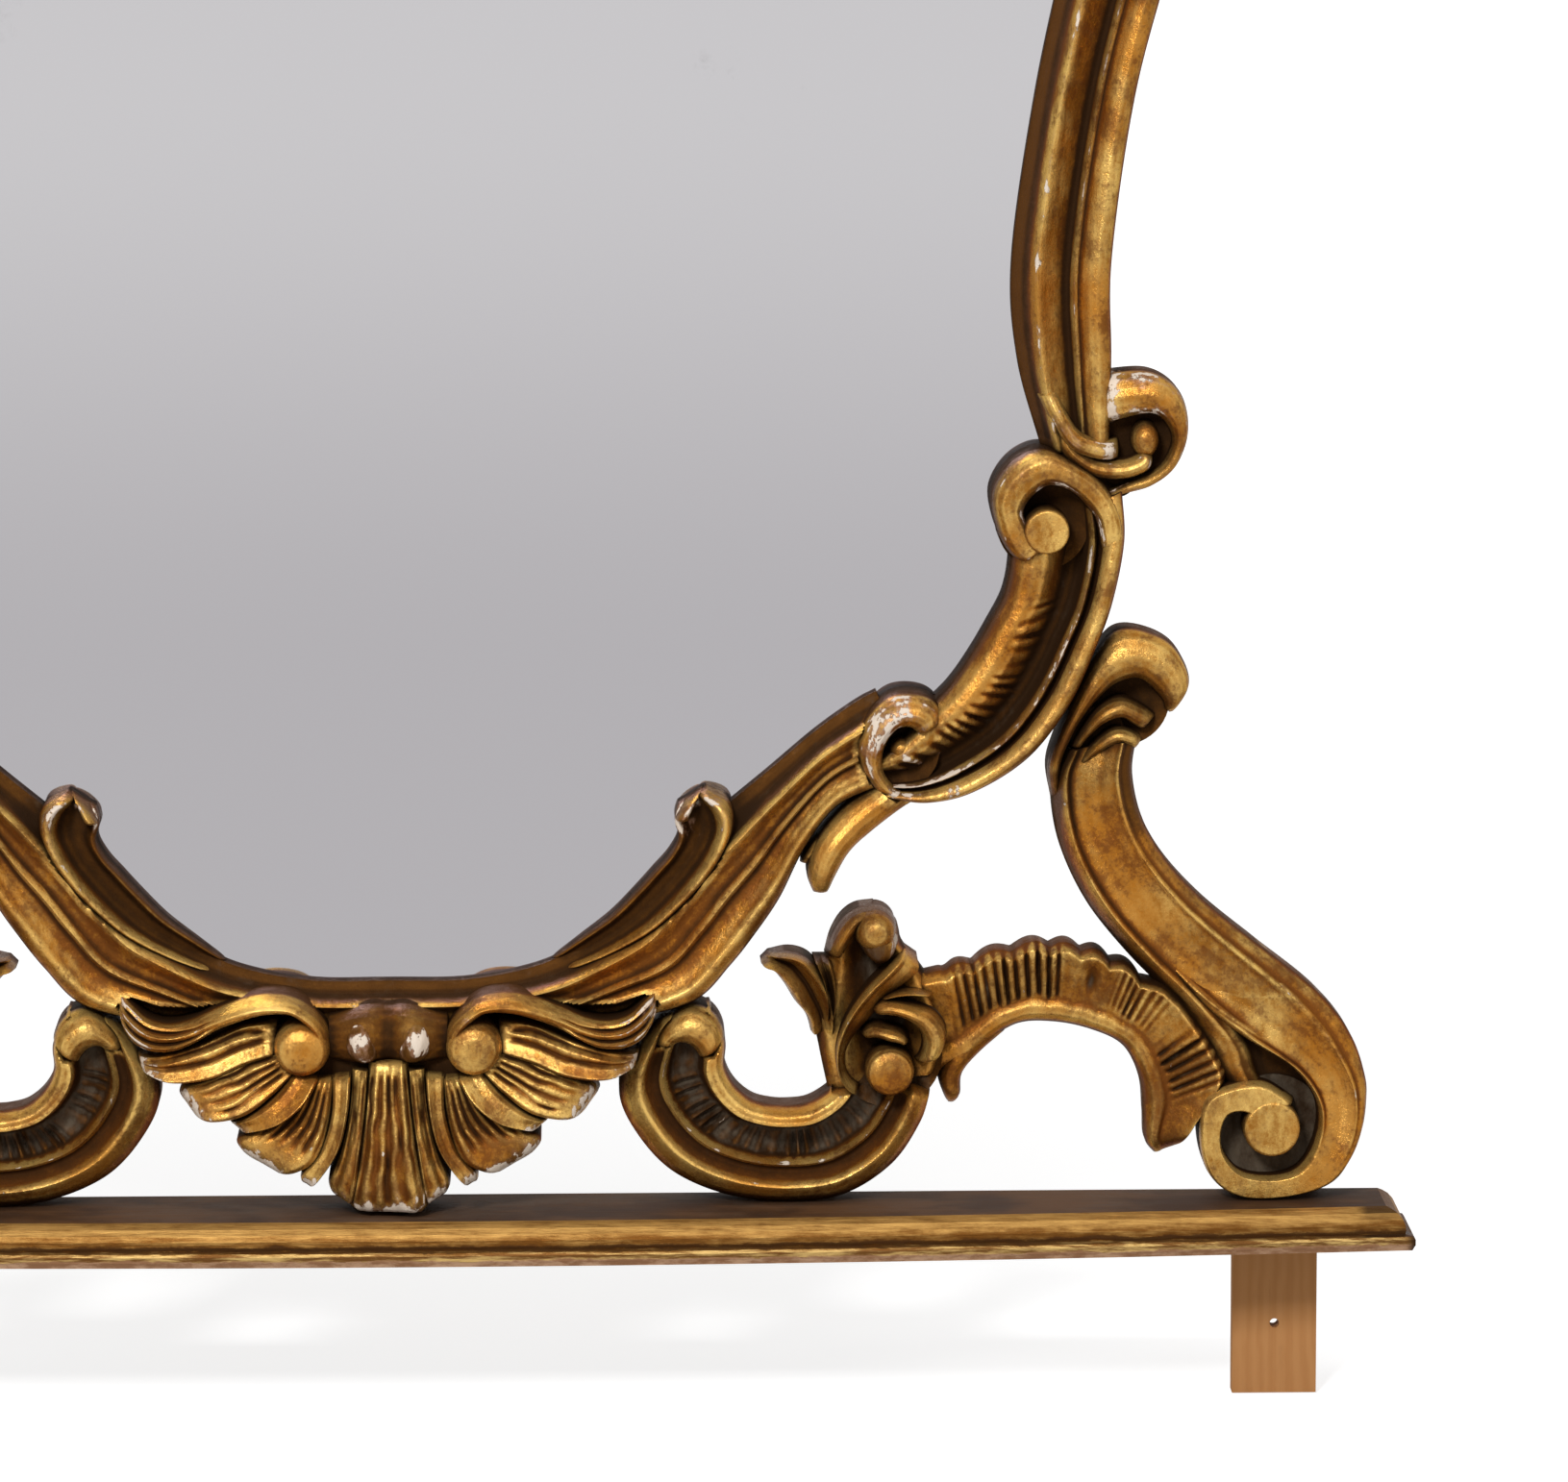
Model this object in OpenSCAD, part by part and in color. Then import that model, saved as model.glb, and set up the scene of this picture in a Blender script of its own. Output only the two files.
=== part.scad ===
// Carved and gilded pier mirror on a bow-fronted shelf rail, with two battens behind.
// X runs across the wall, +Z up, the front faces -Y. The origin is the middle of the
// shelf's underside. Heights in the carving's outlines are measured from the shelf's top.

/* [Shelf rail] */
// Height of the shelf rail
rail_h = 21.5; // [18:0.5:30]
// Depth of the shelf rail at its middle
rail_d = 84; // [76:1:100]
// How far the shelf's front bows out at its middle
rail_bow = 24; // [12:1:30]
// How far the shelf runs past the scroll feet on each side
rail_overhang = 23; // [8:1:40]
// How far the moulding stands out from the shelf's board
moulding_w = 14.5; // [12:0.5:20]

/* [Carving] */
// Width over the two scroll feet
carving_w = 1034; // [900:2:1200]
// Height of the carving above the shelf
carving_h = 1328; // [1200:2:1500]
// Thickness of the carved frame
frame_t = 35; // [28:1:45]
// Thickness of the corner and shoulder scrolls
corner_t = 38; // [30:1:48]
// Thickness of the scroll feet
foot_t = 34; // [28:1:40]
// Thickness of the pierced scrolls beside the shells
scroll_t = 42; // [34:1:50]
// Thickness of the leafy buds
bud_t = 46; // [36:1:54]
// Thickness of the ribbed arches
arch_t = 30; // [24:1:36]
// Thickness of the two shells
shell_t = 57; // [46:1:57]
// Size of the top frame against the bottom frame
echo_k = 1.144; // [1.1:0.002:1.18]
// Size of the crest shell against the shell below
crest_k = 1.35; // [1.2:0.01:1.4]

/* [Mirror and back] */
// Thickness of the mirror plate
plate_t = 4; // [3:0.5:6]
// Thickness of the softwood frame behind the carving
backing_t = 12; // [10:0.5:16]
// Thickness of the backboards
backboard_t = 6; // [4:0.5:10]
// Height of the half-laps in the backing frame
lap_h = 40; // [24:1:60]
// Shank of the screws
screw_d = 3.5; // [3:0.5:5]

/* [Battens] */
// Width of each batten
batten_w = 45; // [36:1:60]
// Thickness of each batten
batten_t = 12; // [9:0.5:18]
// How far the battens hang below the shelf
batten_drop = 90; // [60:1:120]
// How far the battens rise behind the scroll feet
batten_rise = 98; // [70:1:104]
// Wall screw hole in each batten
wall_hole_d = 5; // [4:0.5:7]
// Depth of the wall screw hole below the shelf
wall_hole_z = 52; // [20:1:80]

/* [Hidden] */

gilt = "goldenrod";
dark_gilt = "darkgoldenrod";
bare_wood = "tan";
pine = "burlywood";
steel = "gray";
silver = "lightsteelblue";

back_y = rail_d / 2;              // the shelf's back and the back of the backing frame
frame_y = back_y - backing_t;     // the plane where the carved frame meets the glass
rail_w = carving_w + 2 * rail_overhang;
far = 2000;                       // longer than anything that is cut

// ---- outlines: each row is a station [edge A x, z, edge B x, z, relief 0..1] ----

stile_line = [[393, 845, 432, 851, 0.8], [383, 806, 435, 806, 0.9], [373, 738, 429, 741, 0.95],
    [356, 662, 411, 664, 1], [340, 586, 391, 587, 1], [328, 500, 379, 502, 1],
    [331, 447, 379, 448, 0.95], [344, 399, 378, 394, 0.8]];
stile_hook_line = [[340, 431, 350, 434, 0.9], [347, 416, 356, 421, 1], [357, 401, 363, 411, 1],
    [372, 395, 374, 407, 0.95], [385, 395, 384, 407, 0.75]];
stile_curl_line = [[373, 441, 374, 413, 0.8], [399, 442, 397, 419, 0.95], [415, 431, 406, 416, 0.9],
    [420, 411, 411, 406, 0.8], [414, 392, 407, 395, 0.75], [401, 381, 400, 389, 0.7],
    [385, 376, 387, 384, 0.65], [372, 370, 376, 378, 0.6]];
stile_dish = [391, 406];
stile_eye = [397, 406];
corner_line = [[324, 357, 385, 379, 0.75], [327, 345, 386, 353, 0.9], [324, 325, 380, 321, 0.9],
    [315, 307, 371, 296, 0.9], [305, 290, 357, 266, 0.9], [295, 276, 336, 239, 0.9],
    [283, 264, 308, 221, 0.85], [269, 249, 284, 215, 0.8], [258, 240, 262, 217, 0.7]];
corner_curl_line = [[386.5, 345, 374, 343, 0.9], [384.5, 366, 371, 363, 0.95], [375, 384, 366, 371, 0.95],
    [360, 395, 358, 379, 1], [343, 402, 347, 382, 1], [327, 395, 338, 376, 1], [317, 379, 330, 367, 0.95],
    [319, 361, 329, 359, 0.9], [329, 345, 336, 351, 0.85]];
corner_eye = [344, 359];
corner_hook_line = [[290, 255, 279, 251, 0.95], [289, 267, 274, 255, 1], [279, 273, 267, 254, 1],
    [264, 272, 262, 247, 1], [252, 261, 260, 239, 0.95], [246, 244, 261, 231, 0.9],
    [253, 225, 266, 224, 0.8], [269, 214, 272, 220, 0.7]];
corner_hook_eye = [269, 242];
arc_line = [[0, 119, 0, 83, 0.85], [41, 119.5, 45, 85, 0.9], [79, 127, 95, 91, 0.95],
    [107, 141, 127, 100, 1], [128, 157, 161, 110, 1], [144, 176, 180, 129, 1],
    [158, 194, 194, 147, 1], [176, 210, 206, 165, 1], [199, 229, 219, 191, 1],
    [225, 251, 236, 213, 0.95], [246, 266, 260, 224, 0.9], [257, 272, 275, 233, 0.85]];
lip_line = [[153, 214, 167, 222, 0.85], [151, 205, 179, 216, 1], [153, 196, 182, 206, 1],
    [148, 186, 179, 194, 1], [140, 177, 172, 181, 0.95], [130, 166, 160, 166, 0.9],
    [117, 153, 141, 148, 0.8], [101, 141, 118, 134, 0.6], [86, 130, 94, 124, 0.4]];
drop_line = [[268, 234, 282, 218, 0.75], [253, 223, 270, 211, 0.8], [238, 212, 254, 199, 0.9],
    [225, 196, 243, 189, 1], [220, 179, 236, 177, 0.9], [224, 165, 231, 165, 0.6]];
foot_line = [[356, 240, 394, 246, 0.8], [350, 226, 392, 228, 0.9], [351, 203, 397, 205, 0.9],
    [357, 181, 409, 183, 0.95], [370, 156, 430, 160, 1], [390, 131, 458, 137, 1],
    [411, 109, 489, 112, 1], [433, 84, 508, 88, 1], [456, 66, 516, 61, 0.95],
    [482, 45, 517, 45, 0.9]];
foot_curl_line = [[420, 108, 489, 112, 1], [449, 88, 508, 88, 1], [474, 73, 516, 66, 1],
    [490, 53, 517, 47, 1], [490, 32, 514, 25, 0.97], [480, 15, 499, 7, 0.92], [466, 9, 477, 0, 0.92],
    [453, 13, 453, 1, 0.95], [444, 23, 438, 9, 0.95], [440, 36, 429, 34, 1], [444, 45, 437, 56, 1],
    [455, 49, 454, 61, 1], [470, 48, 474, 59, 0.9]];
foot_eye = [467, 38];
foot_head_eye = [387, 267];
foot_head_line = [[350, 212, 356, 213, 0.7], [347, 232, 355, 233, 0.85], [352, 250, 361, 249, 0.9],
    [360, 269, 368, 260, 0.92], [370, 289, 375, 268, 0.95], [382, 304, 383, 275, 1], [398, 304, 394, 278, 1],
    [414, 295, 402, 273, 1], [422, 276, 408, 266, 0.95], [413, 258, 409, 261, 0.7]];
foot_roll_line = [[358, 241, 364, 240, 0.7], [366, 254, 369, 247, 0.85], [374, 264, 377, 254, 0.9],
    [385, 269, 386, 257, 0.9], [396, 265, 393, 253, 0.85], [406, 258, 398, 250, 0.7]];
scroll_line = [[169, 106, 145, 103, 0.9], [177, 88, 127, 83, 1], [177, 74, 121, 60, 0.95],
    [182, 63, 130, 38, 0.9], [191, 55, 149, 15, 0.9], [202, 52, 178, 1, 0.9],
    [211, 52, 211, 0, 0.9], [220, 53, 242, 2, 0.9], [231, 59, 267, 21, 0.9],
    [237, 66, 281, 43, 0.9], [241, 74, 286, 60, 0.85]];
scroll_bulb_line = [[137, 82, 149, 83, 0.8], [143, 97, 153, 86, 0.92], [157, 108, 158, 85, 1],
    [171, 103, 161, 82, 1], [177, 90, 163, 79, 0.95], [172, 79, 164, 77, 0.7]];
scroll_ball = [157, 105];
bud_line = [[232, 57, 290, 66, 0.7], [227, 81, 296, 88, 0.75], [224, 101, 290, 109, 0.75],
    [229, 121, 280, 125, 0.7], [232, 135, 271, 137, 0.8], [238, 147, 268, 148, 0.95],
    [246, 155, 260, 155, 0.75]];
bud_leaf_line = [[223, 88, 235, 88, 0.6], [220, 99, 236, 100, 0.7], [214, 107, 234, 112, 0.8],
    [208, 117, 229, 122, 0.85], [202, 124, 221, 131, 0.85], [197, 126, 211, 134, 0.8],
    [196, 128, 200, 132, 0.6]];
bud_spiral_line = [[271, 134, 278, 132, 0.85], [267, 130, 278, 126, 0.97],
    [254, 117, 262, 112, 1], [244, 104, 250, 98, 0.95], [236, 90, 241, 87, 0.9],
    [236, 73, 240.5, 74, 0.9], [240, 64, 243.5, 67, 0.9], [247, 58, 249, 62, 0.85]];
bud_curl_line = [[252, 106, 256, 100, 0.8], [262, 111, 264, 101, 0.95], [277, 108, 272, 99, 1],
    [288, 103, 279, 93, 1], [294, 93, 281, 86, 1], [292, 81, 279, 79, 0.95], [286, 74, 276, 76, 0.8]];
bud_eye = [263, 72];
bud_dish = [264, 78];
bud_ball = [251.5, 147];
bud_foot = [261, 57];
arch_line = [[286, 64, 279, 120, 0.8], [304, 71, 296, 124, 0.9], [316, 83, 310, 129, 0.95],
    [332, 93, 329, 135, 1], [350, 94, 352, 137, 1], [370, 90, 380, 130, 1],
    [388, 81, 407, 112, 1], [397, 63, 429, 83, 1], [399, 45, 439, 61, 0.95],
    [400, 30, 427, 39, 0.9], [406, 21, 419, 27, 0.7]];
arch_drop_line = [[308, 94, 327, 90, 0.6], [296, 81, 312, 77, 0.65], [290, 65, 304, 65, 0.65],
    [293, 51, 302, 51, 0.5]];
frond_line = [[29, 92, 41, 97, 0.9], [31, 101, 43, 101, 0.95], [40, 111, 49, 107, 1],
    [57, 118, 60, 108, 1], [78, 115, 78, 103, 0.98], [97, 107, 96, 95, 0.95], [115, 102, 112, 88, 0.95],
    [126, 105, 124, 88, 0.95], [135, 113, 134, 93, 0.9], [141, 117, 142, 107, 0.75]];
lobe_lines = [
    [[57, 96, 58, 85, 0.8], [79, 93, 75, 80, 0.85], [108, 88, 103, 72, 0.9], [133, 85, 131, 78, 0.7]],
    [[54, 89, 48, 77, 0.8], [73, 83, 59, 65, 0.85], [98, 73, 79, 52, 0.92], [111, 62, 104, 53, 0.6]],
    [[48, 80, 35, 75, 0.85], [59, 66, 43, 61, 0.95], [73, 55, 57, 50, 0.95], [85, 49, 78, 43, 0.75]],
    [[42, 76, 28, 75, 0.8], [55, 58, 30, 51, 0.85], [75, 44, 40, 28, 0.92], [74, 28, 59, 20, 0.65]],
    [[30, 76, 19, 77, 0.85], [30, 56, 21, 56, 0.95], [36, 36, 26, 36, 0.95], [46, 23, 37, 19, 0.9],
        [46, 14, 43, 14, 0.65]],
    [[19, 80, 10, 80, 0.8], [21, 56, 12, 55, 0.85], [28, 28, 16, 24, 0.88], [29, 7, 22, 5, 0.7]]];
tongue_line = [[-10, 84, 10, 84, 0.85], [-13, 54, 13, 54, 0.95], [-17, 26, 17, 26, 1],
    [-21, 9, 21, 9, 0.95], [-17, 0, 17, 0, 0.85]];
shell_eye = [45, 90];
bridge_line = [[-31, 106, -31, 80, 0.8], [-12, 111, -12, 78, 0.95], [0, 111, 0, 79, 0.85],
    [12, 111, 12, 78, 0.95], [31, 106, 31, 80, 0.8]];
// The right half of the sunk ground between the lobes, and of the whole shell.
shell_web = [[31.5, 75.2], [34, 103], [87, 105], [125, 98], [104, 84], [88, 62], [60, 48], [40, 23]];
shell_edge = [[30, 100], [40, 111], [57, 118], [78, 115], [97, 107], [115, 102], [126, 105],
    [135, 113], [141, 117], [142, 107], [134, 93], [133, 85],
    [131, 78], [111, 62], [104, 53], [85, 49], [78, 43], [74, 28], [59, 20], [46, 14], [22, 5],
    [17, 0]];

// ---- sections across a member: [share of the width from edge A, share of the relief] ----

frame_section = [[0, 0.3], [0.24, 0.97], [0.4, 0.68], [0.58, 0.6], [0.64, 0.8], [0.84, 0.9],
    [1, 0.45]];
channel_section = [[0, 0.45], [0.16, 0.88], [0.5, 0.4], [0.7, 0.46], [0.84, 1], [1, 0.5]];
foot_section = [[0, 0.4], [0.17, 0.97], [0.48, 0.68], [0.8, 0.95], [1, 0.45]];
scroll_section = [[0, 0.55], [0.18, 0.9], [0.25, 0.52], [0.6, 0.5], [0.75, 0.98], [1, 0.4]];
arch_section = [[0, 0.5], [0.12, 0.76], [0.6, 0.82], [0.86, 1], [1, 0.6]];
roll_section = [[0, 0.52], [0.28, 0.95], [0.7, 0.98], [1, 0.52]];
flute_section = [[0, 0.5], [0.16, 0.9], [0.5, 0.7], [0.86, 1], [1, 0.5]];
lobe_section = [[0, 0.5], [0.5, 1], [1, 0.5]];
tongue_section = [[0, 0.52], [0.26, 0.97], [0.5, 0.8], [0.74, 0.97], [1, 0.52]];

// ---- moving and fitting outlines ----

function turned(p, from, k, flip, a, to) = let (q = [p[0] - from[0], flip * (p[1] - from[1])] * k)
    [to[0] + q[0] * cos(a) - q[1] * sin(a), to[1] + q[0] * sin(a) + q[1] * cos(a)];
function placed(line, from, k, flip, a, to) = [for (s = line)
    concat(turned([s[0], s[1]], from, k, flip, a, to), turned([s[2], s[3]], from, k, flip, a, to),
        [s[4]])];

// The top frame echoes the bottom frame upside down and a little larger.
middle_z = 421;                                  // the corner joint at the stile's foot
stile_join_z = 819;                              // where the two halves of the stile's line meet
echo_z = stile_join_z + echo_k * middle_z;
function above(line) = placed(line, [0, 0], echo_k, -1, 0, [0, echo_z]);
function above_point(p) = turned(p, [0, 0], echo_k, -1, 0, [0, echo_z]);

// The crest shell is the apron shell turned over on the top arc.
crest_seat = 104;                                // height on the shell that meets the arc's edge
crest_z = above_point([0, crest_seat - 5])[1] + crest_k * crest_seat;
function crowned(line) = placed(line, [0, 0], crest_k, -1, 0, [0, crest_z]);
function crowned_point(p) = turned(p, [0, 0], crest_k, -1, 0, [0, crest_z]);

// The crest scroll hangs from its ball beside the crest shell and leans down the arc.
ear_lean = -79;
ear_k = 1.1;
ear_seat = above_point([166, 106]);
function eared(line) = placed(line, scroll_ball, ear_k, -1, ear_lean, ear_seat);

// The shoulder leaf stands on the shoulder scroll and leans outward.
leaf_lean = -30;
leaf_seat = above_point([291, 218]);
function sprouted(line) = placed(line, bud_foot, 1, 1, leaf_lean, leaf_seat);
function sprouted_point(p) = turned(p, bud_foot, 1, 1, leaf_lean, leaf_seat);

// From the drawn outlines to the size asked for.
drawn_w = 2 * max([for (s = foot_curl_line) s[2]]);  // over the scroll feet
kx = carving_w / drawn_w;
kz = carving_h / crest_z;
function board(p) = [p[0] * kx, rail_h + p[1] * kz];

// ---- lofting ----

function blend(p0, p1, p2, p3, t) = 0.5 * (2 * p1 + (p2 - p0) * t
    + (2 * p0 - 5 * p1 + 4 * p2 - p3) * t * t + (3 * p1 - p0 - 3 * p2 + p3) * t * t * t);
function smooth(line, n) = let (last = len(line) - 1)
    concat([for (i = [0:last - 1], k = [0:n - 1])
        blend(i > 0 ? line[i - 1] : 2 * line[0] - line[1], line[i], line[i + 1],
            i < last - 1 ? line[i + 2] : 2 * line[last] - line[last - 1], k / n)], [line[last]]);
function across(s, u) = board([s[0] + (s[2] - s[0]) * u, s[1] + (s[3] - s[1]) * u]);
function outline(rings) = concat([for (s = rings) across(s, 0)],
    [for (i = [len(rings) - 1:-1:0]) across(rings[i], 1)]);
function twice_area(p) = let (n = len(p))
    sum([for (i = [0:n - 1]) p[i][0] * p[(i + 1) % n][1] - p[(i + 1) % n][0] * p[i][1]]);
function sum(v) = v * [for (i = v) 1];

// A member lofted from its stations: the back lies at y = 0 and the front reaches y = -1.
module member(line, section, n = 2) {
    rings = smooth(line, n);
    shape = concat([[0, 0]], section, [[1, 0]]);
    m = len(shape);
    last = len(rings) - 1;
    skin = [for (s = rings, c = shape)
        let (q = across(s, c[0])) [q[0], -c[1] * s[4], q[1]]];
    ends = [for (s = [rings[0], rings[last]])
        let (q = across(s, 0.5)) [q[0], -0.2 * s[4], q[1]]];
    sides = [for (i = [0:last - 1], j = [0:m - 1], half = [0, 1])
        let (k = (j + 1) % m)
        half == 0 ? [i * m + j, i * m + k, (i + 1) * m + k]
            : [i * m + j, (i + 1) * m + k, (i + 1) * m + j]];
    caps = [for (j = [0:m - 1], end = [0, 1])
        let (k = (j + 1) % m)
        end == 0 ? [len(skin), k, j] : [len(skin) + 1, last * m + j, last * m + k]];
    faces = concat(sides, caps);
    forward = twice_area(outline(rings)) > 0;
    polyhedron(concat(skin, ends), forward ? faces : [for (f = faces) [f[2], f[1], f[0]]]);
}

// The ground that a member covers, cut right through what lies beside it.
module ground(line, n = 2) {
    rotate([90, 0, 0]) translate([0, 0, -far / 2]) linear_extrude(far)
        polygon(outline(smooth(line, n)));
}

module button(centre, r, h) {
    q = board(centre);
    translate([q[0], 0, q[1]]) rotate([90, 0, 0]) scale([kx, kz, 1])
        cylinder(r1 = r, r2 = r * 0.8, h = h, $fn = 12);
}

module button_ground(centre, r) {
    q = board(centre);
    translate([q[0], far / 2, q[1]]) rotate([90, 0, 0]) scale([kx, kz, 1])
        cylinder(r = r, h = far, $fn = 12);
}

// Work on a piece of wood of thickness t whose back lies in the plane y.
module carved(y, t) {
    translate([0, y, 0]) resize([0, t, 0]) children();
}

// side is 1 for the right-hand piece and -1 for the left-hand one.
module handed(side) {
    if (side > 0) children();
    else mirror([1, 0, 0]) children();
}

// ---- carved frame ----

module stile_block() {
    member(stile_line, frame_section);
    for (low = [true, false]) {
        for (line = [stile_hook_line, stile_curl_line])
            member(low ? line : above(line), roll_section, 1);
        k = low ? 1 : echo_k;
        button(low ? stile_dish : above_point(stile_dish), 26 * k, 0.43);
        button(low ? stile_eye : above_point(stile_eye), 7.5 * k, 0.85);
    }
}

module corner_ground(top) {
    ground(top ? above(corner_line) : corner_line, 1);
    ground(top ? above(corner_curl_line) : corner_curl_line, 1);
    ground(top ? above(corner_hook_line) : corner_hook_line, 1);
    button_ground(top ? above_point(corner_eye) : corner_eye, 24 * (top ? echo_k : 1));
    button_ground(top ? above_point(corner_hook_eye) : corner_hook_eye, 21 * (top ? echo_k : 1));
}

module stile(side) {
    color(gilt) handed(side) carved(frame_y, frame_t) difference() {
        stile_block();
        corner_ground(false);
        corner_ground(true);
    }
}

module corner_scroll(side, top = false) {
    color(gilt) handed(side) carved(frame_y, corner_t) {
        member(top ? above(corner_line) : corner_line, channel_section, 1);
        member(top ? above(corner_curl_line) : corner_curl_line, roll_section, 1);
        member(top ? above(corner_hook_line) : corner_hook_line, roll_section, 1);
        k = top ? echo_k : 1;
        button(top ? above_point(corner_eye) : corner_eye, 24 * k, 0.44);
        button(top ? above_point(corner_eye) : corner_eye, 13 * k, 0.92);
        button(top ? above_point(corner_hook_eye) : corner_hook_eye, 21 * k, 0.43);
        button(top ? above_point(corner_hook_eye) : corner_hook_eye, 9 * k, 0.75);
    }
}

module shell_plate(half, top, h) {
    whole = concat(half, [for (i = [len(half) - 1:-1:0]) [-half[i][0], half[i][1]]]);
    rotate([90, 0, 0]) linear_extrude(h)
        polygon([for (p = whole) board(top ? crowned_point(p) : p)]);
}

module shell_ground(top) {
    translate([0, far / 2, 0]) shell_plate(shell_edge, top, far);
}

module bridge_ground(top) {
    ground(top ? crowned(bridge_line) : bridge_line, 1);
}

module frame_arc(side, top = false) {
    color(gilt) carved(frame_y, frame_t) difference() {
        handed(side) member(top ? above(arc_line) : arc_line, frame_section, 1);
        handed(side) ground(top ? above(lip_line) : lip_line, 1);
        handed(side) corner_ground(top);
        shell_ground(top);
        bridge_ground(top);
    }
}

module lip_leaf(side, top = false) {
    color(dark_gilt) handed(side) carved(frame_y, corner_t)
        member(top ? above(lip_line) : lip_line, flute_section, 1);
}

module drop_leaf(side) {
    color(gilt) handed(side) carved(frame_y, frame_t) difference() {
        member(drop_line, roll_section, 1);
        ground(arc_line, 1);
        corner_ground(false);
    }
}

// ---- shells ----

module shell(top = false) {
    color(gilt) carved(frame_y, shell_t) {
        shell_plate(shell_web, top, 0.43);
        member(top ? crowned(tongue_line) : tongue_line, tongue_section, 1);
        for (hand = [1, -1]) handed(hand) {
            member(top ? crowned(frond_line) : frond_line, flute_section, 1);
            for (line = lobe_lines) member(top ? crowned(line) : line, lobe_section, 1);
            button(top ? crowned_point(shell_eye) : shell_eye, 16 * (top ? crest_k : 1), 0.97);
        }
    }
}

module bridge(top = false) {
    color(dark_gilt) carved(frame_y, shell_t * 0.9) difference() {
        member(top ? crowned(bridge_line) : bridge_line, roll_section, 1);
        ground(top ? crowned(tongue_line) : tongue_line, 1);
        for (hand = [1, -1]) handed(hand) {
            for (line = lobe_lines) ground(top ? crowned(line) : line, 1);
            button_ground(top ? crowned_point(shell_eye) : shell_eye, 16 * (top ? crest_k : 1));
        }
    }
}

// ---- pierced scrolls, buds, arches and feet ----

module bud_ground(top) {
    ground(top ? sprouted(bud_line) : bud_line, 1);
    ground(top ? sprouted(bud_leaf_line) : bud_leaf_line, 1);
    ground(top ? sprouted(bud_curl_line) : bud_curl_line, 1);
    ground(top ? sprouted(bud_spiral_line) : bud_spiral_line, 1);
    button_ground(top ? sprouted_point(bud_dish) : bud_dish, 28);
    button_ground(top ? sprouted_point(bud_ball) : bud_ball, 15);
}

module foot_ground() {
    ground(foot_line, 1);
    ground(foot_curl_line, 1);
    ground(foot_head_line, 1);
    button_ground(foot_eye, 30);
}

module pierced_scroll(side, top = false) {
    color(gilt) carved(top ? frame_y : back_y, top ? frame_t : scroll_t) difference() {
        handed(side) union() {
            member(top ? eared(scroll_line) : scroll_line, scroll_section);
            member(top ? eared(scroll_bulb_line) : scroll_bulb_line, roll_section, 1);
        }
        handed(side) ground(top ? above(arc_line) : arc_line, 1);
        handed(side) corner_ground(top);
        handed(side) bud_ground(top);
        shell_ground(top);
    }
}

module leafy_bud(side, top = false) {
    color(dark_gilt) handed(side) carved(top ? frame_y : back_y, bud_t) difference() {
        union() {
            member(top ? sprouted(bud_line) : bud_line, roll_section, 1);
            member(top ? sprouted(bud_leaf_line) : bud_leaf_line, flute_section, 1);
            member(top ? sprouted(bud_curl_line) : bud_curl_line, roll_section, 1);
            member(top ? sprouted(bud_spiral_line) : bud_spiral_line, roll_section, 1);
            button(top ? sprouted_point(bud_dish) : bud_dish, 28, 0.45);
            button(top ? sprouted_point(bud_eye) : bud_eye, 13.5, 1);
            button(top ? sprouted_point(bud_ball) : bud_ball, 15, 0.98);
        }
        if (top) corner_ground(true);
        if (top) ground(above(arc_line), 1);
    }
}

module ribbed_arch(side) {
    color(gilt) handed(side) carved(back_y, arch_t) difference() {
        union() {
            member(arch_line, arch_section, 1);
            member(arch_drop_line, roll_section, 1);
        }
        bud_ground(false);
        foot_ground();
        ground(scroll_line);
    }
}

module foot_scroll(side) {
    color(gilt) handed(side) carved(back_y, foot_t) difference() {
        union() {
            member(foot_line, foot_section, 1);
            member(foot_curl_line, roll_section, 1);
            member(foot_head_line, roll_section, 1);
            member(foot_roll_line, roll_section, 1);
            button(foot_eye, 29, 0.43);
            button(foot_eye, 14.5, 1);
            button(foot_head_eye, 25, 0.43);
        }
        corner_ground(false);
    }
}

// ---- shelf rail ----

board_half = rail_w / 2 - moulding_w;
front_y = -rail_d / 2;
bow_r = (pow(rail_w / 2, 2) + pow(rail_bow, 2)) / (2 * rail_bow);
bow_y = front_y + bow_r;                     // centre of the bowed front
bow_angle = 2 * asin((rail_w / 2 + 5) / bow_r);
function bow_front(x, r) = bow_y - sqrt(r * r - x * x);
mitre_in = [board_half, bow_front(board_half, bow_r - moulding_w)];
mitre_out = [rail_w / 2, bow_front(rail_w / 2, bow_r)];
mitre_way = mitre_out - mitre_in;

// Section of the moulding: distance out from the board, and height.
function moulding_profile() = [[0, 0], [moulding_w - 1.5, 0], [moulding_w - 0.6, 2],
    [moulding_w, 3], [moulding_w, 6], [moulding_w - 1, 7.5], [moulding_w - 5, 8.2],
    [moulding_w - 4.6, 10], [moulding_w - 5, 13], [moulding_w - 6.4, 16], [moulding_w - 9, 18.8],
    [moulding_w - 12, 20.6], [0, rail_h]];

// The half of the plan on the inner side of a mitre line.
module mitre_side(side) {
    reach = 80;
    a = mitre_in - mitre_way * reach;
    b = mitre_in + mitre_way * reach;
    off = [mitre_way[1], -mitre_way[0]] * reach * side;
    translate([0, 0, -1]) linear_extrude(rail_h + 2) polygon([a, b, b + off, a + off]);
}

module rail_board() {
    color(bare_wood) intersection() {
        translate([-board_half, -rail_d, 0]) cube([2 * board_half, rail_d + back_y, rail_h]);
        translate([0, bow_y, 0]) cylinder(r = bow_r - moulding_w, h = rail_h, $fn = 900);
    }
}

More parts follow.
